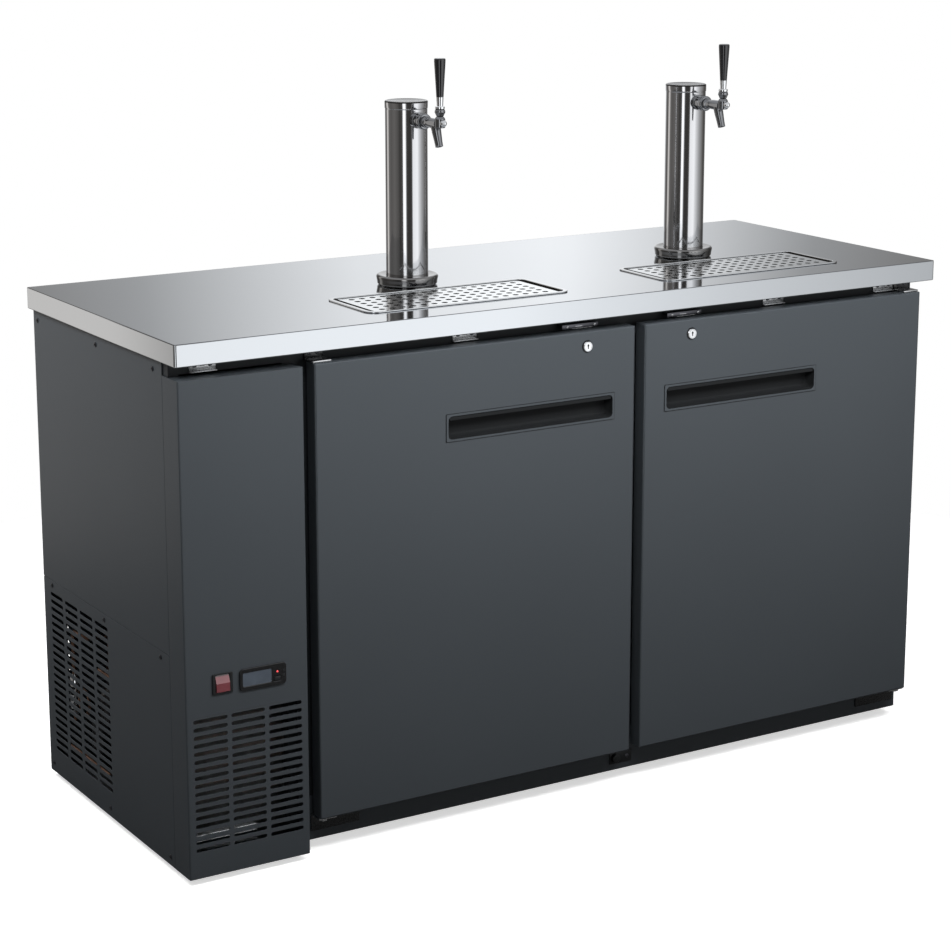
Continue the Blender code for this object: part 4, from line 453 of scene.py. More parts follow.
def make_worktop():
    """Folded worktop with openings for the trays and lines, and its front clips."""
    low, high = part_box("worktop")
    top, thickness = high.z, sizes().worktop_thickness
    outlines = [rounded_outline(low, high, 0.004, 4)]
    for side in SIDES:
        tray_low, tray_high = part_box(f"drip_tray_{side}")
        inset = Vector((0.0068, 0.0068, 0))
        outlines.append(rounded_outline(tray_low + inset, tray_high - inset, 0.0155, 5))
        column = centre_of(f"tower_column_{side}")
        outlines.append(round_outline(column.x, column.y, 0.022, 24))
    shape = bmesh.new()
    add(shape, plate(outlines, thickness, sizes().fold_radius, 2), at(0, 0, top - thickness / 2))
    piece("worktop_top", shape, "worktop_steel", "cabinet", ("worktop",), 40, True)
    # painted reflection: a thin dark wire along the top edge stands in for the dark line that the folded edge reflects
    inset, painted_line_radius = 0.00048, 0.00042
    painted_edge_path = rounded_outline((low.x + inset, low.y + inset), (high.x - inset, high.y - inset), 0.0036, 4)
    painted_edge_path = [*painted_edge_path, *painted_edge_path[:2]]
    line = tube([(x, y, top - inset) for x, y in painted_edge_path], [painted_line_radius] * len(painted_edge_path), 8)
    piece("worktop_painted_edge_line", line, "screw_steel", "cabinet")
    clips, band, half = bmesh.new(), low.z, 0.0235
    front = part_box("machine_frame")[0].y - 0.0003 - 0.0016
    places = [share * high.x for share in (-0.908, -0.282, 0.564)]
    for x in (*places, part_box("upper_hinge_right")[0].x - 0.002 - half):
        add(clips, block((x - half, front, band), (x + half, front + 0.0015, top - thickness), 0.0005))
        add(clips, block((x - half, front - 0.006, band), (x + half, front + 0.0005, band + 0.0014), 0.0005))
        for shift in (-0.0135, 0.0135):
            add_screw(clips, at(x + shift, front, band + 0.0115, FACING_FRONT), 0.0042, 1, 1)
        add(clips, block((x - 0.004, front - 0.0006, band + 0.009), (x + 0.004, front, band + 0.014), 0.0002), None, 1)
    piece("worktop_clips", clips, ("clip_steel", "screw_steel"), "cabinet")


def make_tray(side):
    """Drip tray with a rolled rim, its ledges and well, and the drain."""
    low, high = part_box(f"drip_tray_{side}")
    middle = (low + high) / 2
    rim = high.z
    wall, rim_width, radius, rise = 0.0012, 0.007, 0.022, 0.002
    bm = bmesh.new()
    inner_low, inner_high = low + Vector((rim_width,) * 3), high - Vector((rim_width,) * 3)
    well_low, well_high = inner_low + Vector((wall,) * 3), inner_high - Vector((wall,) * 3)
    ring = [rounded_outline(low, high, radius, 8), rounded_outline(well_low, well_high, radius - rim_width - wall, 6)]
    add(bm, plate(ring, rise, 0.0009, 2), at(0, 0, rim - rise / 2))
    ledge, floor = rim - 0.0034, rim - 0.022
    skirt = [
        rounded_outline(inner_low, inner_high, radius - rim_width, 6),
        rounded_outline(well_low, well_high, radius - rim_width - wall, 6),
    ]
    # The well's walls and floor take the painted shade finish at index 1.
    add(bm, plate(skirt, rim - rise - floor), at(0, 0, (rim - rise + floor) / 2), 1)
    base = [rounded_outline(inner_low, inner_high, radius - rim_width, 6), round_outline(middle.x, middle.y, 0.006, 16)]
    add(bm, plate(base, wall), at(0, 0, floor - wall / 2), 1)
    for edge, inside in ((well_low.y, 0.006), (well_high.y, -0.006)):
        ends = sorted((edge, edge + inside))
        shelf = block((well_low.x + 0.012, ends[0], ledge - wall), (well_high.x - 0.012, ends[1], ledge))
        add(bm, shelf)
    tail = [(0.009, floor), (0.009, low.z), (0.0065, low.z), (0.0065, floor)]
    add(bm, turned(tail, at(middle.x, middle.y, 0), 24))
    piece(f"tray_{side}", bm, ("tray_steel", "tray_well_painted_shade"), "cabinet", (f"drip_tray_{side}",), 32, True)


def make_grille(side):
    """Lift-out grille with rows of round holes and a turned edge."""
    low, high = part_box(f"drip_grille_{side}")
    middle = (low + high) / 2
    outlines = [rounded_outline(low, high, 0.005, 4)]
    columns, rows, pitch_x, pitch_y = 17, 6, 0.0202, 0.0209
    for column in range(columns):
        for row in range(rows):
            x = middle.x + (column - (columns - 1) / 2) * pitch_x
            y = middle.y + (row - (rows - 1) / 2) * pitch_y
            outlines.append(round_outline(x, y, sizes().hole_diameter / 2, 12))
    whole = bmesh.new()
    add(whole, plate(outlines, high.z - low.z), at(0, 0, middle.z))
    for y in (low.y, high.y - 0.0014):
        add(whole, block((low.x + 0.006, y, high.z - 0.0006), (high.x - 0.006, y + 0.0014, high.z), 0.0002))
    piece(f"grille_{side}", whole, "grille_steel", f"{side}_grille", (f"drip_grille_{side}",), 32, True)


def make_tower(side):
    """Draught tower: base flange, column and cap."""
    column_low, column_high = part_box(f"tower_column_{side}")
    x, y = centre_of(f"tower_column_{side}").xy
    base, top = column_low.z, column_high.z
    radius = 0.037
    bm = turned([(radius, base), (radius, top), (radius - 0.002, top), (radius - 0.002, base)], at(x, y, 0), 96)
    piece(f"column_{side}", bm, "polished_steel", "cabinet", (f"tower_column_{side}",))
    flange = [(0.0374, 0.0168), (0.0392, 0.0168), (0.0440, 0.0172), (0.0480, 0.0180)]
    flange += arc(0.0503, 0.0138, 0.0042, 90, 0, 7)
    flange += [(0.0541, 0.0115), (0.0534, 0.0080), (0.0530, 0.0055)]
    flange += arc(0.0500, 0.0038, 0.0029, 5, -70, 5)
    flange += [(0.0505, 0.0006), (0.0501, 0.0), (0.0374, 0.0)]
    bm = turned(flange, at(x, y, base), 96)
    piece(f"flange_{side}", bm, "flange_steel", "cabinet", (f"tower_flange_{side}",))
    cap_low, cap_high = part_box(f"tower_cap_{side}")
    rim = top + 0.0003
    cap = [(0, cap_high.z - 0.0004), (0.0345, cap_high.z - 0.0002)]
    cap += arc(0.0352, cap_high.z - 0.0026, 0.0026, 90, 0, 5)
    cap += [(0.0378, rim + 0.0012), (0.0372, rim), (0.0347, rim), (0.0347, cap_low.z), (0, cap_low.z)]
    bm = turned(cap, at(x, y, 0), 96)
    # The cap's top faces take the painted dark reflection at index 1; its sides are polished steel.
    for face in bm.faces:
        face.material_index = 1 if face.calc_center_median().z > cap_high.z - 0.0022 else 0
    piece(f"cap_{side}", bm, ("polished_steel", "cap_top_painted_reflection"), "cabinet", (f"tower_cap_{side}",))


def make_faucet(side):
    """Shank, coupling nut, faucet body, spout and front plug."""
    x, y = centre_of(f"tower_column_{side}").xy
    hub_y = centre_of(f"tap_lever_{side}").y
    z = centre_of(f"shank_{side}").z
    bm = bmesh.new()
    line = at(x, y, z, FACING_FRONT)
    disc = [(0, 0.030), (0.0140, 0.030), (0.0140, 0.0425), *arc(0.0125, 0.0435, 0.0015, 0, 90, 3), (0.0108, 0.045)]
    disc += [(0.0104, 0.0465), (0, 0.0465)]
    add(bm, turned(disc, line, 48))
    nut = [(0, 0.0466), (0.0128, 0.0466), (0.01375, 0.0475), (0.01375, 0.0545), (0.0131, 0.0552), (0.0131, 0.0560)]
    nut += [(0.01375, 0.0567), (0.01375, 0.0608), *arc(0.0115, 0.0620, 0.00225, 10, 80, 5)]
    nut += [(0.0100, 0.0645), (0, 0.0645)]
    add(bm, turned(nut, line, 48))
    # painted shade: six near-flush blocks in the near-black hole finish stand for the shade in the nut's spanner slots
    for number in range(6):
        turn = Matrix.Rotation(math.tau * (number + 0.5) / 6, 4, "Z")
        add(bm, block((0.0126, -0.0022, 0.0482), (0.01385, 0.0022, 0.0538), 0.0004), line @ turn, 1)
    tail = [(0, -0.012), (0.0095, -0.012), (0.0105, -0.011), (0.0105, 0.0345), (0, 0.0345)]
    add(bm, turned(tail, line, 32))
    add(bm, turned([(0, 0.024), (0.0125, 0.024), (0.0125, 0.030), (0, 0.030)], line, 6))
    piece(f"shank_set_{side}", bm, ("faucet_chrome", "painted_hole_shade"), "cabinet", (f"shank_{side}",))
    body = bmesh.new()
    neck = [(0, 0.0648), (0.0092, 0.0648), (0.0100, 0.0656), (0.0100, 0.0692), *arc(0.0088, 0.0700, 0.0012, 0, 70, 3)]
    neck += [(0.0083, 0.0722), (0.0080, 0.0760), (0.0083, 0.0800), (0.0088, 0.0860), (0.0088, 0.1080), (0, 0.1110)]
    add(body, turned(neck, line, 40))
    pivot_z = z + HUB_RISE
    hub = [(0, 0.0092), *arc(0, 0, 0.0092, 88, 0, 8), (0.0092, -0.0100)]
    hub += [*arc(0.0072, -0.0105, 0.0020, 0, -80, 4), (0, -0.013)]
    add(body, turned(hub, at(x, hub_y, pivot_z), 40))
    reach = [0.0967, 0.0990, 0.1030, 0.1080, 0.1115]
    drop = [0.004, -0.003, -0.015, -0.0285, -0.0380]
    path = [(x, y - a, z + b) for a, b in zip(reach, drop)]
    add(body, tube(path, [0.0076, 0.0086, 0.0080, 0.0070, 0.0066], 32))
    end, before = Vector(path[-1]), Vector(path[-2])
    fall = (end - before).normalized()
    mouth = Matrix.Translation(end) @ fall.to_track_quat("Z", "X").to_matrix().to_4x4()
    lip = [(0.0045, -0.0015), (0.0066, -0.0015), (0.0069, -0.0006), (0.0066, 0.0003), (0.0050, 0.0003)]
    add(body, turned([*lip, (0.0045, -0.0003)], mouth, 32))
    # painted shade: a thin near-black disc inside the lip stands for the shade in the spout's bore
    bore = [(0, -0.0002), (0.0046, -0.0002), (0.0046, 0.0002), (0, 0.0002)]
    add(body, turned(bore, mouth, 24), None, 1)
    stem = [(0, 0.0060), (0.0052, 0.0060), (0.0052, 0.0086), *arc(0, 0.0115, 0.0058, -28, 88, 10), (0, 0.0173)]
    add(body, turned(stem, at(x, hub_y, pivot_z - 0.0040, FACING_FRONT), 32), None, 2)
    finishes = ("faucet_chrome", "painted_hole_shade", "bright_chrome")
    piece(f"faucet_{side}", body, finishes, "cabinet", (f"faucet_body_{side}",))


def make_lever(side):
    """Lever collar that rocks on the hub, its ferrule and the tapered handle."""
    x, y = centre_of(f"tap_lever_{side}").xy
    pivot = centre_of(f"shank_{side}").z + HUB_RISE
    bm = bmesh.new()
    collar = [*arc(0, 0, 0.0096, 90, 54, 5), (0.0066, 0.0080), (0.0074, 0.0104), (0.0088, 0.0132)]
    collar += [*arc(0.0082, 0.0148, 0.0011, -20, 60, 3), (0.0088, 0.0176), (0.0080, 0.0186), (0, 0.0186)]
    add(bm, turned(collar, at(x, y, pivot), 40))
    # painted shade: a thin near-black band stands for the shade in the gap between collar and ferrule
    band = [(0, 0.0186), (0.0076, 0.0186), (0.0076, 0.0196), (0, 0.0196)]
    add(bm, turned(band, at(x, y, pivot), 40), None, 1)
    ferrule = [(0, 0.0196), (0.0074, 0.0196), (0.0082, 0.0202), (0.0082, 0.0234), (0.0078, 0.0240), (0, 0.0240)]
    add(bm, turned(ferrule, at(x, y, pivot), 40), None, 2)
    piece(
        f"lever_{side}", bm, ("faucet_chrome", "painted_hole_shade", "bright_chrome"), f"{side}_tap",
        (f"tap_lever_{side}",),
    )
    handle_low, handle_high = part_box(f"tap_handle_{side}")
    foot, top = handle_low.z, handle_high.z
    rise = top - foot
    radii = ((0.0, 0.0054), (0.2, 0.0063), (0.4, 0.0072), (0.62, 0.0083), (0.8, 0.0092), (0.93, 0.0098))
    profile = [(0, foot), *[(radius, foot + rise * share) for share, radius in radii]]
    profile += [*arc(0.0076, top - 0.0022, 0.0022, 0, 90, 5), (0, top)]
    profile.insert(2, (0.0062, foot + 0.0155))
    bm = turned(profile, at(x, y, 0), 40)
    for face in bm.faces:
        face.material_index = 1 if face.calc_center_median().z < foot + 0.0155 else 0
    piece(
        f"handle_{side}", bm, ("gloss_black", "bright_chrome"), f"{side}_tap",
        (f"tap_handle_{side}",),
    )


def slot_outlines(start, columns, rows, length, bridge, pitch, height):
    """Outlines of level slots with round ends; start is the first column's low end and the top row's middle."""
    found = []
    for column in range(columns):
        for row in range(rows):
            low_x = start[0] + column * (length + bridge)
            z = start[1] - row * pitch
            low, high = (low_x, z - height / 2), (low_x + length, z + height / 2)
            found.append(rounded_outline(low, high, height / 2 * 0.999, 4))
    return found


def make_front_panel():
    """Folded front panel of the machine compartment with its slots."""
    low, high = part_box("front_vent_panel")
    sheet, fold = sizes().sheet, 0.0025
    outlines = [rounded_outline((low.x + fold, low.z), (high.x - fold, high.z), 0.0001, 1)]
    outlines += slot_outlines((low.x + 0.0125, 0.280), 3, 17, 0.0605, 0.0070, 0.0137, sizes().slot_height)
    outlines.append(window_outline(centre_of("controller"), 0.0353, 0.0143, 0.001, 1))
    outlines.append(window_outline(centre_of("power_switch_housing"), 0.0153, 0.0160, 0.001, 1))
    bm = bmesh.new()
    add_front(bm, outlines, low.y + sheet / 2, sheet)
    frame_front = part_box("machine_frame")[0].y - 0.0004
    for edge, inward, depth in ((low.x, 1, high.y), (high.x, -1, frame_front)):
        profile = [(edge + inward * fold, low.y)]
        for step in range(1, 5):
            angle = math.pi / 2 * step / 4
            profile.append((edge + inward * fold * (1 - math.sin(angle)), low.y + fold * (1 - math.cos(angle))))
        profile.append((edge, depth))
        strip = bmesh.new()
        verts = [strip.verts.new((x, y, low.z)) for x, y in profile]
        edges = [strip.edges.new(pair) for pair in zip(verts, verts[1:])]
        grown = bmesh.ops.extrude_edge_only(strip, edges=edges)
        lifted = [item for item in grown["geom"] if isinstance(item, bmesh.types.BMVert)]
        bmesh.ops.translate(strip, verts=lifted, vec=(0, 0, high.z - low.z))
        if inward < 0:
            bmesh.ops.reverse_faces(strip, faces=strip.faces)
        bmesh.ops.solidify(strip, geom=strip.faces[:], thickness=sheet)
        add(bm, strip)
    for bottom in (low.z, high.z - sheet):
        add(bm, block((low.x + fold, low.y + sheet, bottom), (high.x - fold, frame_front, bottom + sheet)))
    piece("front_louvre_panel", bm, "coated_steel", "cabinet", ("front_vent_panel",), 32, True)


def make_side_panel():
    """Slotted lower panel of the left end, and the screws of both end panels."""
    low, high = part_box("side_vent_panel")
    sheet = high.x - low.x
    outlines = [rounded_outline((low.y, low.z), (high.y, high.z), 0.001, 2)]
    run = 4 * 0.0555 + 3 * 0.0105
    outlines += slot_outlines((high.y - 0.030 - run, 0.3525), 4, 22, 0.0555, 0.0105, 0.0138, sizes().slot_height)
    bm = bmesh.new()
    add(bm, plate(outlines, sheet, 0.0003, 0), at(low.x + sheet / 2, 0, 0, SIDE_TURN))
    piece("side_louvre_panel", bm, "coated_steel", "cabinet", ("side_vent_panel",), 32, True)
    screws = bmesh.new()
    for y, z in ((0.264, 0.3695), (0.033, 0.3680), (-0.198, 0.3670), (0.286, 0.029), (0.031, 0.029), (-0.216, 0.0275)):
        add_screw(screws, at(low.x, y, z, FACING_LEFT), 0.0042)
    for y in (0.285, 0.03, -0.198):
        add_screw(screws, at(low.x, y, 0.845, FACING_LEFT), 0.0042)
    piece("side_screws", screws, ("screw_steel", "painted_hole_shade"), "cabinet")


def make_rear_panel():
    """Slotted rear panel with its screws."""
    low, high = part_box("rear_vent_panel")
    sheet = high.y - low.y
    middle = (low.x + high.x) / 2
    rows, half, first, pitch = 6, 0.070, 0.300, 0.026
    outlines = [front_outline(low, high, 0, 0.001, 2)]
    outlines += slot_outlines((middle - half, first), 1, rows, 2 * half, 0.012, pitch, 0.0075)
    bm = bmesh.new()
    add_front(bm, outlines, low.y + sheet / 2, sheet, 0.0003, 0)
    for row in range(rows):
        top = first - row * pitch + 0.0045
        hood = block((middle - half, -0.0004, 0), (middle + half, 0.0004, 0.0145))
        add(bm, hood, at(0, low.y - 0.0002, top, Matrix.Rotation(math.radians(128), 4, "X")))
    for x in (low.x + 0.012, high.x - 0.012):
        for z in (low.z + 0.02, 0.30, 0.58, high.z - 0.02):
            add_screw(bm, at(x, high.y, z, FACING_REAR), 0.004, 1, 2)
    piece(
        "rear_louvre_panel", bm, ("coated_steel", "screw_steel", "painted_hole_shade"), "cabinet",
        ("rear_vent_panel",), 32, True,
    )


def make_door(side):
    """Door leaf with its recessed handle, lock and gasket."""
    low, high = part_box(f"door_panel_{side}")
    cup_low, cup_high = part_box(f"door_handle_{side}")
    body, depth, frame_width = f"{side}_door", high.y - low.y, 0.003
    outlines = [front_outline(low, high, 0, 0.0015, 2), front_outline(cup_low, cup_high, frame_width, 0.008, 4)]
    bm = bmesh.new()
    add_front(bm, outlines, low.y + depth / 2, depth, sizes().door_rounding, 2)
    piece(f"door_leaf_{side}", bm, "coated_steel", body, (f"door_panel_{side}",), 40, True)
    cup, front, back = bmesh.new(), cup_low.y, cup_high.y
    opening = front_outline(cup_low, cup_high, frame_width + 0.0015, 0.0075, 6)
    add_front(cup, [front_outline(cup_low, cup_high, 0, 0.0015, 2), opening], front + 0.0008, 0.0004)
    edge = front_outline(cup_low, cup_high, 0.0009, 0.0012, 2)
    add_front(cup, [edge, opening], front + 0.0003, 0.0006, 0.0002, 1, 1)
    levels = (
        (front + 0.0004, 0.0012, 0.0078), (front + 0.010, 0.0022, 0.0078), (back - 0.004, 0.0036, 0.0075),
        (back - 0.0020, 0.0050, 0.0065), (back - 0.0014, 0.0080, 0.0050),
    )
    loops, shell = [], bmesh.new()
    for place, inset, radius in levels:
        points = front_outline(cup_low, cup_high, frame_width + inset, radius, 5)
        verts = [shell.verts.new((x, place, z)) for x, z in points]
        loops.append([shell.edges.new(pair) for pair in zip(verts, verts[1:] + verts[:1])])
    for first, second in zip(loops, loops[1:]):
        bmesh.ops.bridge_loops(shell, edges=first + second)
    bmesh.ops.contextual_create(shell, geom=loops[-1])
    bmesh.ops.recalc_face_normals(shell, faces=shell.faces)
    bmesh.ops.solidify(shell, geom=shell.faces[:], thickness=-0.0011)
    add(cup, shell)
    grip_low = (cup_low.x + 0.007, front + 0.0012, cup_high.z - 0.012)
    add(cup, block(grip_low, (cup_high.x - 0.007, front + 0.0040, cup_high.z - 0.0055), 0.0010))
    finishes = ("cup_black", "coated_steel")
    piece(f"door_cup_{side}", cup, finishes, body, (f"door_handle_{side}",), 32, True)
    make_lock(side, low.y)
    make_gasket(side)


def make_lock(side, face):
    """Cam lock with its flange, plug and keyway; the cam lies behind the door leaf."""
    x, _, z = joint_place(f"{side}_lock_turn")
    low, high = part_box(f"door_lock_{side}")
    bm = bmesh.new()
    head = [(0, 0.0030), (0.0066, 0.0030), (0.0068, 0.0026), (0.0072, 0.0026), (0.0074, 0.0033)]
    head += [(0.0082, 0.0033), (0.0095, 0.0018), (0.0095, 0.0003), (0, 0.0003)]
    place = at(x, face, z, FACING_FRONT)
    add(bm, turned(head, place, 48))
    # painted shadow: a thin near-black ring behind the flange stands for the shadow round the proud cylinder
    add(bm, turned([(0.0080, 0.0007), (0.0107, 0.0006), (0.0109, 0), (0.0080, 0)], place, 40), None, 1)
    add(bm, turned([(0, 0.0004), (0.0075, 0.0004), (0.0075, -0.027), (0, -0.027)], place, 24))
    # painted shade: the keyway and keyhole are thin raised shapes in the near-black hole finish, not cuts
    add(bm, block((-0.0009, -0.0040, 0.0022), (0.0009, 0.0040, 0.00312)), place, 1)
    keyhole = [(0, 0.0022), (0.0019, 0.0022), (0.0019, 0.0031), (0, 0.0031)]
    add(bm, turned(keyhole, place @ at(0, 0.0018, 0), 16), None, 1)
    away = -1 if side == "left" else 1
    ends = sorted((x - away * 0.006, low.x if away < 0 else high.x))
    add(bm, block((ends[0], high.y - 0.0025, z - 0.006), (ends[1], high.y, z + 0.006), 0.0008))
    piece(f"lock_{side}", bm, ("bright_chrome", "painted_hole_shade"), f"{side}_lock", (f"door_lock_{side}",))


def make_gasket(side):
    """Magnetic gasket: a ring with two rounded ribs."""
    low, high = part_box(f"door_gasket_{side}")
    bm = bmesh.new()
    depth = high.y - low.y
    width = 0.0062
    for inset in (0.0, 0.0078):
        rib = [front_outline(low, high, inset, 0.004, 3), front_outline(low, high, inset + width, 0.003, 3)]
        add_front(bm, rib, (low.y + high.y) / 2, depth, 0.0025, 2)
    web = [front_outline(low, high, 0.004, 0.003, 2), front_outline(low, high, 0.010, 0.003, 2)]
    add_front(bm, web, low.y + 0.0012, 0.0012)
    piece(f"gasket_{side}", bm, "gasket_rubber", f"{side}_door", (f"door_gasket_{side}",), 32, True)


def make_hinge(side):
    """Both hinges of a door: painted flange with its screws, bright leaf, and pin with its head."""
    away = -1 if side == "left" else 1
    axis = joint_place(f"{side}_door_hinge")
    for level in ("lower", "upper"):
        low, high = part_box(f"{level}_hinge_{side}")
        outer = low.x if side == "left" else high.x
        leaf_x = sorted((outer, outer - away * 0.034))
        pin_low, pin_high = (high.z - 0.0135, high.z) if level == "lower" else (low.z, low.z + 0.0135)
        if level == "lower":
            top = high.z - 0.012
            flange, leaf = (low.z, top), (top - 0.003, top)
        else:
            bottom = low.z + 0.012
            flange, leaf = (bottom, high.z), (bottom, bottom + 0.003)
        bm = bmesh.new()
        add(bm, block((low.x, high.y - 0.003, flange[0]), (high.x, high.y, flange[1]), 0.0006))
        add(bm, block((leaf_x[0], low.y, leaf[0]), (leaf_x[1], high.y - 0.0028, leaf[1]), 0.0005), None, 1)
        pin = [(0, pin_low), (0.0035, pin_low), (0.0040, pin_low + 0.0006)]
        pin += [(0.0040, pin_high - 0.0006), (0.0035, pin_high), (0, pin_high)]
        add(bm, turned(pin, at(axis[0], axis[1], 0), 24), None, 1)
        if level == "lower":
            under = leaf[0]
            head = [(0, under - 0.0045), (0.0072, under - 0.0045), (0.0080, under - 0.0037)]
            head += [(0.0080, under), (0, under)]
            add(bm, turned(head, at(axis[0], axis[1] + 0.0005, 0), 6), None, 1)
            for reach in (0.046, 0.061, 0.080):
                add_screw(bm, at(outer - away * reach, high.y - 0.003, flange[1] - 0.0095, FACING_FRONT), 0.0046, 1, 2)
        else:
            for reach in (0.009, 0.024):
                add_screw(bm, at(outer - away * reach, high.y - 0.003, flange[1] - 0.007, FACING_FRONT), 0.0036, 2, 3)
        piece(
            f"hinge_{level}_{side}", bm, ("machine_paint", "hinge_steel", "screw_steel", "painted_hole_shade"), "cabinet",
            (f"{level}_hinge_{side}",),
        )


def joint_place(name):
    """Place of a joint's axis at rest."""
    return next(joint for joint in frame["joints"] if joint["name"] == name)["pos_m"]


def make_trim():
    """Faces of the lock strikes with their screws, and the catch on the bottom rail."""
    strikes = bmesh.new()
    for side in SIDES:
        place = Vector((joint_place(f"{side}_lock_turn")[0], STRIKE_FRONT, STRIKE_Z))
        face = Vector((-0.037, -0.0005, -0.0039)), Vector((0.037, 0, 0.0039))
        add(strikes, block(place + face[0], place + face[1], 0.0002))
        for shift in (-0.026, 0.030):
            head = place + Vector((shift, -0.0005, 0))
            add_screw(strikes, at(*head, FACING_FRONT), 0.0026, 2, 1)
        # painted highlight: two thin bright bars in clip steel stand in for the glints along the strike's lower edge
        # and its lip
        edge = Vector((-0.016, -0.0008, -0.0038)), Vector((0.024, -0.0004, -0.0031))
        lip = Vector((-0.010, -0.0007, -0.0003)), Vector((0.004, -0.0004, 0.0007))
        for low, high in (edge, lip):
            add(strikes, block(place + low, place + high), None, 2)
    piece("strike_faces", strikes, ("screw_steel", "painted_hole_shade", "clip_steel"), "cabinet")
    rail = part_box("cabinet_floor")[0].y
    catch = bmesh.new()
    add(catch, block((0.088, rail - 0.0022, 0.030), (0.136, rail, 0.052), 0.0006))
    boss = [(0, 0.0075), (0.0062, 0.0075), *arc(0.0062, 0.0055, 0.002, 90, 0, 4), (0.0085, 0), (0, 0)]
    add(catch, turned(boss, at(0.0986, rail - 0.0020, 0.041, FACING_FRONT), 32))
    add_screw(catch, at(0.125, rail - 0.0022, 0.041, FACING_FRONT), 0.004, 1, 1)
    piece("rail_catch", catch, ("black_plastic", "screw_steel"), "cabinet")


def make_controls():
    """Controller with its window and lamp, the key, and the switch's frame."""
    low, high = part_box("controller")
    bm, x = bmesh.new(), (low.x + high.x) / 2
    left, right, half = x - 0.0365, x + 0.0155, 0.0115
    outlines = [
        window_outline(Vector((x, 0, CONTROL_Z)), (high.x - low.x) / 2, CONTROL_HALF_HEIGHT, 0.0065, 6),
        rounded_outline((left, CONTROL_Z - half), (right, CONTROL_Z + half), 0.0025, 4),
        window_outline(centre_of("controller_key"), 0.0064, 0.0044, 0.001, 2),
    ]
    add_front(bm, outlines, low.y + 0.0015, 0.003, 0.0008, 2)
    add(bm, block((x - 0.035, low.y + 0.0028, 0.323), (x + 0.035, high.y, 0.351)))
    lap = 0.0005
    pane = rounded_outline((left - lap, CONTROL_Z - half - lap), (right + lap, CONTROL_Z + half + lap), 0.0025, 3)
    add_front(bm, [pane], low.y + 0.0013, 0.0006, index=1)
    lamp = [(0, 0.0013), (0.0012, 0.0010), (0.0016, 0), (0, 0)]
    add(bm, turned(lamp, at(x + 0.0255, low.y, 0.3415, FACING_FRONT), 16), None, 2)
    button = 0.0022
    for z in (CONTROL_Z + 0.0045, CONTROL_Z - 0.0035):
        ends = (x + 0.0365 - button, low.y - 0.0007, z - button), (x + 0.0365 + button, low.y + 0.001, z + button)
        add(bm, block(*ends, 0.0006), None, 3)
    finishes = ("gloss_black", "window_glass", "red_lamp", "black_plastic")
    piece("controller_face", bm, finishes, "cabinet", ("controller",), 32, True)
    key = block(*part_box("controller_key"), 0.0008, 2)
    piece("key_cap", key, "black_plastic", "key", ("controller_key",))
    low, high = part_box("power_switch_housing")
    middle, bm = (low + high) / 2, bmesh.new()
    half_width, half_height = 0.015, 0.0157
    hole = window_outline(middle, 0.0127, 0.0147, 0.0006, 1)
    add_front(bm, [front_outline(low, high, 0, 0.002, 3), hole], low.y + 0.00125, 0.0025, 0.0008, 2)
    add_front(bm, [window_outline(middle, half_width, half_height, 0.0006, 1), hole], low.y + 0.0072, 0.0095)
    back_low = (middle.x - half_width, high.y - 0.012, middle.z - half_height)
    add(bm, block(back_low, (middle.x + half_width, high.y, middle.z + half_height)))
    piece("switch_frame", bm, "black_plastic", "cabinet", ("power_switch_housing",), 32, True)


def make_condenser():
    """Condenser: fins on rows of copper tube with return bends and end plates."""
    low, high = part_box("condenser_coil")
    bm = bmesh.new()
    count = sizes().fins
    for number in range(count):
        x = low.x + 0.006 + (high.x - low.x - 0.012) * number / (count - 1)
        add(bm, block((x - 0.0002, low.y, low.z + 0.002), (x + 0.0002, high.y, high.z - 0.002)))
    for edge in (low.x, high.x - 0.0015):
        add(bm, block((edge, low.y, low.z), (edge + 0.0015, high.y, high.z)), None, 1)
    for edge in (low.z, high.z - 0.0015):
        add(bm, block((low.x, low.y, edge), (high.x, high.y, edge + 0.0015)), None, 1)
    for y in (low.y + 0.012, high.y - 0.012):
        for row in range(9):
            z = low.z + 0.018 + row * 0.0268
            add(bm, tube([(low.x + 0.0005, y, z), (high.x - 0.0005, y, z)], [0.0045, 0.0045], 12), None, 2)
    finishes = ("fin_aluminium", "galvanised", "copper_tube")
    piece("condenser", bm, finishes, "cabinet", ("condenser_coil",))
    bracket = bmesh.new()
    for bottom, height in ((0.030, 0.004), (0.045, 0.006), (0.058, 0.003)):
        ends = (low.x + 0.004, low.y - 0.012, bottom), (high.x - 0.06, low.y - 0.0005, bottom + height)
        add(bracket, block(*ends, 0.0008))
    piece("condenser_bracket", bracket, "grille_steel", "cabinet")


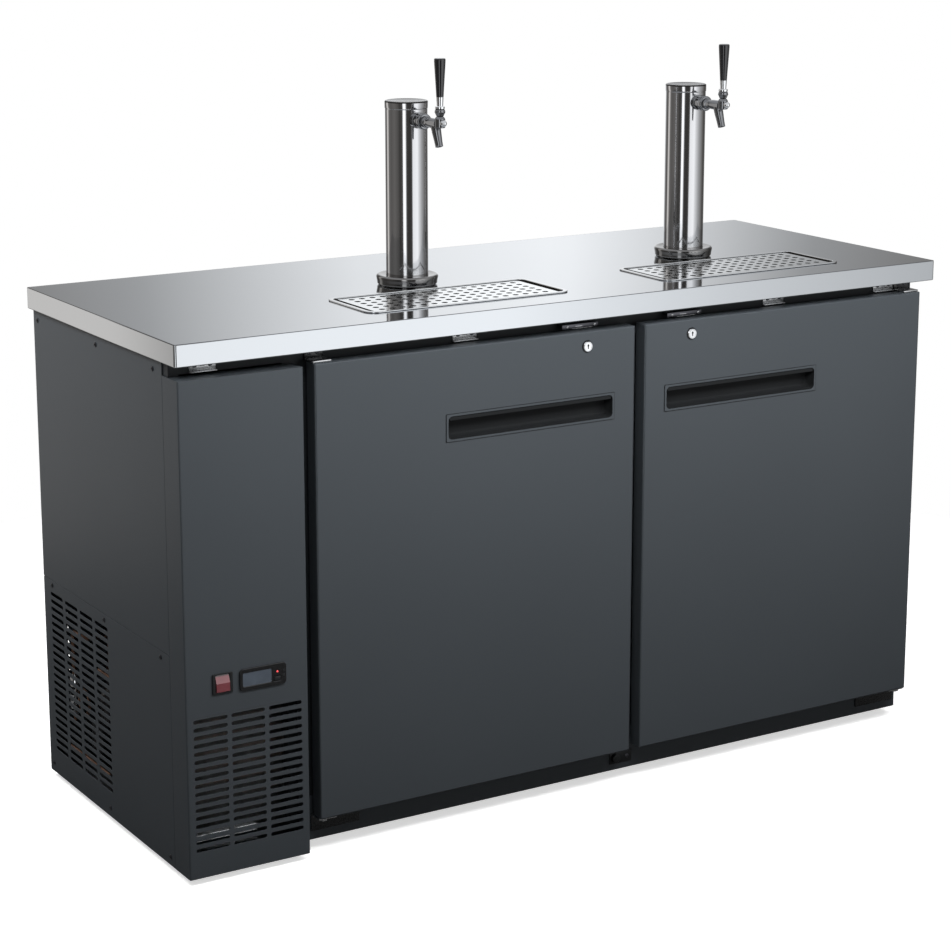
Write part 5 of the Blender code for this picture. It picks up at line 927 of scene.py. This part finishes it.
def make_interior():
    """Bright liner sheets of the keg space with their seams, and the blower's fan guard and screws."""
    left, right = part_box("divider_wall")[1].x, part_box("right_wall")[0].x
    floor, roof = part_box("cabinet_floor")[1].z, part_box("cabinet_roof")[0].z
    front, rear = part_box("right_wall")[0].y + 0.012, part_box("back_wall")[0].y
    skin, lift = 0.00018, 0.00006
    bm = bmesh.new()
    add(bm, block((left + 0.01, rear - lift - skin, floor + 0.01), (right - 0.01, rear - lift, roof - 0.01)))
    add(bm, block((left + lift, front, floor + 0.01), (left + lift + skin, rear - 0.01, roof - 0.01)))
    add(bm, block((right - lift - skin, front, floor + 0.01), (right - lift, rear - 0.01, roof - 0.01)))
    add(bm, block((left + 0.01, front, floor + lift), (right - 0.01, rear - 0.01, floor + lift + skin)))
    for x in (left + 0.006, right - 0.006):
        add(bm, tube([(x, rear - 0.006, floor + 0.01), (x, rear - 0.006, roof - 0.01)], [0.006, 0.006], 16))
    ends = [(left + 0.01, rear - 0.006, floor + 0.006), (right - 0.01, rear - 0.006, floor + 0.006)]
    add(bm, tube(ends, [0.006, 0.006], 16))
    piece("keg_space_liner", bm, "liner_sheet", "cabinet", (), 32, True)
    cover_low, cover_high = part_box("evaporator_cover")
    fan_low, fan_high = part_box("evaporator_fan")
    middle = (fan_low + fan_high) / 2
    reach = (fan_high.y - fan_low.y) / 2 + 0.006
    guard = bmesh.new()
    face = cover_high.x + 0.0016
    for share in (0.16, 0.37, 0.58, 0.79, 1.0):
        ring = [(face, y, z) for y, z in arc(middle.y, middle.z, reach * share, 0, 360, 48)]
        add(guard, tube(ring, [0.0011] * 49, 8))
    for step in range(6):
        turn = math.tau * step / 6 + 0.26
        along = Vector((0, math.cos(turn), math.sin(turn)))
        hub = Vector((face - 0.0012, middle.y, middle.z))
        add(guard, tube([hub + along * reach * 0.16, hub + along * (reach + 0.004)], [0.0011, 0.0011], 8))
    for y in (cover_low.y + 0.012, cover_high.y - 0.012):
        for z in (cover_low.z + 0.014, cover_high.z - 0.014):
            add_screw(guard, at(cover_high.x, y, z, FACING_RIGHT), 0.004)
    piece("blower_guard", guard, ("bright_chrome", "painted_hole_shade"), "cabinet")


def bend(points, radius, steps=4):
    """Points of a line with its corners rounded."""
    done = [Vector(points[0])]
    for before, corner, after in zip(points, points[1:], points[2:]):
        before, corner, after = Vector(before), Vector(corner), Vector(after)
        start = corner + (before - corner).normalized() * radius
        end = corner + (after - corner).normalized() * radius
        for step in range(steps + 1):
            share = step / steps
            done.append(start.lerp(corner, share).lerp(corner.lerp(end, share), share))
    done.append(Vector(points[-1]))
    return done


def make_lines():
    """Refrigerant lines between the compressor, the condenser and the wall, with a filter drier."""
    unit_low, unit_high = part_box("compressor")
    x, y, base = centre_of("condenser_fan").x, (unit_low.y + unit_high.y) / 2, unit_low.z
    bm = bmesh.new()
    coil_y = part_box("condenser_coil")[1].y
    runs = (
        ([(x - 0.055, y - 0.02, base + 0.185), (x - 0.055, y - 0.02, base + 0.235), (x - 0.086, y - 0.02, base + 0.235),
          (x - 0.086, coil_y + 0.075, base + 0.235), (x - 0.086, coil_y + 0.075, base + 0.215)], 0.0035),
        ([(x - 0.04, y + 0.03, base + 0.185), (x - 0.04, y + 0.03, base + 0.275), (x - 0.084, y + 0.03, base + 0.275),
          (x - 0.084, y + 0.09, base + 0.275), (x - 0.084, y + 0.09, base + 0.10)], 0.0050),
        ([(x - 0.094, y - 0.085, base + 0.06), (x - 0.094, y + 0.10, base + 0.06)], 0.0035),
    )
    for points, radius in runs:
        line = bend(points, 0.012)
        add(bm, tube(line, [radius] * len(line), 12))
    drier = [(0, 0), (0.004, 0.002), (0.010, 0.012), (0.010, 0.070), (0.004, 0.080), (0, 0.082)]
    add(bm, turned(drier, at(x - 0.084, y + 0.09, base + 0.115), 24), None, 1)
    coil, steps, radius = [], 120, 0.024
    for step in range(steps):
        turn = math.tau * step / 24
        across, rise = radius * math.cos(turn), radius * math.sin(turn) + step * 0.00005
        coil.append((x - 0.088 - 0.0045 * step / steps, y + 0.035 + across, base + 0.155 + rise))
    add(bm, tube(coil, [0.0012] * steps, 8))
    piece("refrigerant_lines", bm, ("copper_tube", "bright_chrome"), "cabinet")


def make_compressor():
    """Welded compressor shell with its seam, plate, rubber feet, terminal box and tubes."""
    low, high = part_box("compressor")
    x, y = centre_of("condenser_fan").x, (low.y + high.y) / 2
    base = low.z
    bm = bmesh.new()
    bottom = base + 0.020
    shell = [(0, bottom), (0.040, bottom + 0.004), *arc(0.040, bottom + 0.036, 0.032, -80, 0, 6)]
    shell += [(0.072, bottom + 0.084), (0.075, bottom + 0.087), (0.075, bottom + 0.092)]
    shell += [(0.072, bottom + 0.096), (0.072, bottom + 0.135)]
    shell += [*arc(0.032, bottom + 0.138, 0.040, 5, 85, 8), (0, bottom + 0.180)]
    add(bm, turned(shell, at(x, y, 0), 64))
    add(bm, block((x - 0.090, low.y, base + 0.018), (x + 0.090, high.y, base + 0.021), 0.0008), None, 1)
    for side_x in (-1, 1):
        for side_y in (-1, 1):
            foot = [(0, 0), (0.012, 0), (0.0125, 0.006), (0.010, 0.009), (0.012, 0.0175), (0, 0.0175)]
            add(bm, turned(foot, at(x + side_x * 0.078, y + side_y * 0.073, base), 24), None, 2)
    add(bm, block((x - 0.083, y - 0.025, bottom + 0.045), (x - 0.061, y + 0.025, bottom + 0.105), 0.003), None, 3)
    finishes = ("machine_paint", "galvanised", "gasket_rubber", "black_plastic")
    piece("compressor_unit", bm, finishes, "cabinet", ("compressor",))


def make_feet():
    """Levelling feet with a hexagon and a threaded stem."""
    for row in ("front", "rear"):
        for end in SIDES:
            node = f"foot_{row}_{end}"
            low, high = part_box(node)
            x, y = centre_of(node).xy
            bm = bmesh.new()
            pad = [(0, 0), (0.0165, 0), (0.018, 0.0012), (0.018, 0.0030), (0.0150, 0.0055)]
            pad += [(0.0085, 0.0062), (0, 0.0062)]
            add(bm, turned(pad, at(x, y, 0), 32))
            add(bm, turned([(0, 0.006), (0.0062, 0.006), (0.0062, high.z), (0, high.z)], at(x, y, 0), 24), None, 1)
            piece(f"levelling_{row}_{end}", bm, ("black_plastic", "galvanised"), "cabinet", (node,))


def azimuth_stops():
    """Grey levels of the studio wall by direction round the object, as shares of a turn."""
    return (
        (0.000, 1.25), (0.008, 0.40), (0.014, 0.10), (0.034, 0.05), (0.086, 0.06), (0.096, 0.30), (0.110, 1.70),
        (0.138, 1.70), (0.148, 0.10), (0.186, 0.06), (0.215, 0.12), (0.270, 0.18), (0.330, 0.14), (0.380, 0.20),
        (0.398, 0.80), (0.430, 0.80), (0.446, 0.10), (0.495, 0.20), (0.530, 0.42), (0.566, 0.98), (0.600, 1.14),
        (0.625, 0.68), (0.640, 0.38), (0.668, 0.18), (0.735, 0.08), (0.770, 0.20), (0.840, 0.50), (0.895, 0.98),
        (0.925, 1.40), (1.000, 1.25),
    )


def stage_mesh(name, bm):
    """Links an object of the stage, made from a bmesh, and returns it with its material's nodes."""
    mesh = bpy.data.meshes.new(name)
    bm.to_mesh(mesh)
    bm.free()
    material = bpy.data.materials.new(name)
    material.use_nodes = True
    mesh.materials.append(material)
    obj = bpy.data.objects.new(name, mesh)
    bpy.context.scene.collection.objects.link(obj)
    return obj, material.node_tree


def make_stage():
    """Pale floor, soft studio lights, the studio wall that polished steel mirrors, and the camera."""
    scene = bpy.context.scene
    scene.view_settings.view_transform = "Standard"
    bm = bmesh.new()
    bmesh.ops.create_circle(bm, cap_ends=True, segments=96, radius=FLOOR_RADIUS)
    floor, tree = stage_mesh("studio_floor", bm)
    link, shader = tree.links.new, tree.nodes["Principled BSDF"]
    put(shader, Roughness=0.9, Specular_IOR_Level=0.0, Emission_Color=(1, 1, 1, 1))
    seen = new_node(tree, "LightPath").outputs["Is Camera Ray"]
    tone = colour_mix(tree, (0.12, 0.12, 0.12), (0.95, 0.95, 0.95))
    link(seen, tone.inputs[0])
    link(tone.outputs[2], shader.inputs["Base Color"])
    link(math_output(tree, "MULTIPLY", seen, FLOOR_GLOW), shader.inputs["Emission Strength"])
    make_studio_wall()
    make_world()
    add_lamp("front_strip", (0.18, -1.12, 1.50), (0.20, -0.25, 0.60), 2.3, 0.4, 30.0)
    add_lamp("left_strip", (-1.50, 0.40, 1.55), (-0.75, 0.25, 0.60), 1.2, 0.4, 15.0)
    add_lamp("top_box", (0.1, 0.4, 3.2), (0.0, 0.0, 0.9), 2.4, 2.0, 55.0)
    camera = bpy.data.objects.new("camera", bpy.data.cameras.new("camera"))
    camera.location = (-2.323, -3.715, 1.640)
    camera.rotation_euler = (math.radians(90 - 12.49), 0, math.radians(-31.56))
    camera.data.sensor_width = 36
    camera.data.lens = LENS_PIXELS / PHOTO_PIXELS * 36
    camera.data.shift_y = -0.08
    camera.data.clip_start = 0.05
    scene.collection.objects.link(camera)
    scene.camera = camera


def add_lamp(name, place, target, width, height, power):
    """A soft rectangular lamp that points at a target."""
    light = bpy.data.lights.new(name, "AREA")
    light.shape = "RECTANGLE"
    light.size, light.size_y, light.energy = width, height, power
    lamp = bpy.data.objects.new(name, light)
    lamp.location = place
    lamp.rotation_euler = (Vector(target) - Vector(place)).to_track_quat("-Z", "Y").to_euler()
    lamp.visible_glossy = False
    bpy.context.scene.collection.objects.link(lamp)


def make_studio_wall():
    """A dome of pale and dark panels round the object that only reflections see."""
    bm = bmesh.new()
    bmesh.ops.create_uvsphere(bm, u_segments=64, v_segments=32, radius=WALL_RADIUS)
    whole = bm.verts[:] + bm.edges[:] + bm.faces[:]
    bmesh.ops.bisect_plane(bm, geom=whole, plane_co=(0, 0, -0.6), plane_no=(0, 0, -1), clear_outer=True)
    wall, tree = stage_mesh("studio_wall", bm)
    link = tree.links.new
    tree.nodes.remove(tree.nodes["Principled BSDF"])
    split = new_node(tree, "SeparateXYZ")
    link(new_node(tree, "TexCoord").outputs["Object"], split.inputs[0])
    share = new_node(tree, "MapRange", From_Min=-math.pi, From_Max=math.pi)
    link(math_output(tree, "ARCTAN2", split.outputs["X"], split.outputs["Y"]), share.inputs["Value"])
    ramp = new_node(tree, "ValToRGB")
    stops = azimuth_stops()
    elements = ramp.color_ramp.elements
    elements[0].position, elements[1].position = stops[0][0], stops[-1][0]
    for position, _ in stops[1:-1]:
        elements.new(position)
    for element, (_, level) in zip(elements, stops):
        warm = level < 0.3 or 0.39 < element.position < 0.44
        element.color = (level, level * 0.965, level * 0.93, 1) if warm else (level * 0.985, level, level * 1.02, 1)
    link(share.outputs["Result"], ramp.inputs["Fac"])
    rise = new_node(tree, "MapRange", From_Min=1.9, From_Max=2.5)
    link(split.outputs["Z"], rise.inputs["Value"])
    blend = colour_mix(tree, (0, 0, 0), (0.62, 0.63, 0.65))
    link(rise.outputs["Result"], blend.inputs[0])
    link(ramp.outputs["Color"], blend.inputs[6])
    glow = new_node(tree, "Emission")
    link(blend.outputs[2], glow.inputs["Color"])
    link(glow.outputs[0], tree.nodes["Material Output"].inputs["Surface"])
    wall.visible_camera = False
    wall.visible_diffuse = False
    wall.visible_shadow = False
    wall.visible_transmission = False


def make_world():
    """White to the camera, to reflections and through glass, and a softer grey as light."""
    world = bpy.data.worlds.new("studio")
    bpy.context.scene.world = world
    world.use_nodes = True
    tree = world.node_tree
    rays = new_node(tree, "LightPath").outputs
    seen = math_output(tree, "MAXIMUM", rays["Is Camera Ray"], rays["Is Glossy Ray"])
    strength = new_node(tree, "MapRange", To_Min=0.15, To_Max=1.0)
    tree.links.new(math_output(tree, "MAXIMUM", seen, rays["Is Transmission Ray"]), strength.inputs["Value"])
    put(tree.nodes["Background"], Color=(1, 1, 1, 1))
    tree.links.new(strength.outputs["Result"], tree.nodes["Background"].inputs["Strength"])


def step_operator(name, label, text, work):
    """An operator class that runs one step of the work."""

    def execute(self, context):
        work()
        return {"FINISHED"}

    members = {"bl_idname": "kegerator." + name, "bl_label": label, "__doc__": text, "execute": execute}
    members["bl_options"] = {"REGISTER", "UNDO"}
    return type("KEGERATOR_OT_" + name, (bpy.types.Operator,), members)


def both(work):
    """Runs a step for the left side and for the right side."""

    def run():
        for side in SIDES:
            work(side)

    return run


STEP_ROWS = (
    ("finishes", "Finishes", "Makes the finishes", make_finishes),
    ("nodes", "Dress the frame", "Gives the frame's nodes their finishes", dress_nodes),
    ("worktop", "Worktop", "Builds the worktop and its clips", make_worktop),
    ("trays", "Drip trays", "Builds the drip trays", both(make_tray)),
    ("grilles", "Grilles", "Builds the drip grilles", both(make_grille)),
    ("towers", "Towers", "Builds the draught towers", both(make_tower)),
    ("faucets", "Faucets", "Builds the shanks and faucets", both(make_faucet)),
    ("levers", "Levers", "Builds the levers and handles", both(make_lever)),
    ("front_panel", "Front panel", "Builds the slotted front panel", make_front_panel),
    ("side_panel", "Side panel", "Builds the slotted end panel", make_side_panel),
    ("rear_panel", "Rear panel", "Builds the slotted rear panel", make_rear_panel),
    ("doors", "Doors", "Builds the doors, handles, gaskets and locks", both(make_door)),
    ("hinges", "Hinges", "Builds the door hinges", both(make_hinge)),
    ("trim", "Trim", "Builds the screws, strike faces and rail catch", make_trim),
    ("controls", "Controls", "Builds the controller and the switch", make_controls),
    ("condenser", "Condenser", "Builds the condenser", make_condenser),
    ("compressor", "Compressor", "Builds the compressor", make_compressor),
    ("interior", "Interior", "Builds the keg space's liner and the fan guard", make_interior),
    ("lines", "Refrigerant lines", "Builds the refrigerant lines", make_lines),
    ("feet", "Feet", "Builds the levelling feet", make_feet),
    ("stage", "Studio", "Builds the floor, lights and camera", make_stage),
)
STEPS = tuple(step_operator(*row) for row in STEP_ROWS)


class KEGERATOR_PT_panel(bpy.types.Panel):
    """Lists the steps and the settings in the sidebar."""

    bl_idname = "KEGERATOR_PT_panel"
    bl_label = "Kegerator"
    bl_space_type = "VIEW_3D"
    bl_region_type = "UI"
    bl_category = "Kegerator"

    def draw(self, context):
        layout = self.layout
        for settings in (context.scene.kegerator_sizes, context.scene.kegerator_colours):
            for name in settings.__annotations__:
                layout.prop(settings, name)
        for step in STEPS:
            layout.operator(step.bl_idname)


CLASSES = (KegeratorSizes, KegeratorColours, *STEPS, KEGERATOR_PT_panel)


def register():
    for entry in CLASSES:
        bpy.utils.register_class(entry)
    bpy.types.Scene.kegerator_sizes = bpy.props.PointerProperty(type=KegeratorSizes)
    bpy.types.Scene.kegerator_colours = bpy.props.PointerProperty(type=KegeratorColours)


def unregister():
    del bpy.types.Scene.kegerator_colours
    del bpy.types.Scene.kegerator_sizes
    for entry in reversed(CLASSES):
        bpy.utils.unregister_class(entry)


def main():
    """Registers the add-on, runs its steps in order and writes the two boxes."""
    register()
    for step in STEPS:
        getattr(bpy.ops.kegerator, step.bl_idname.split(".")[1])()


if __name__ == "__main__":
    main()
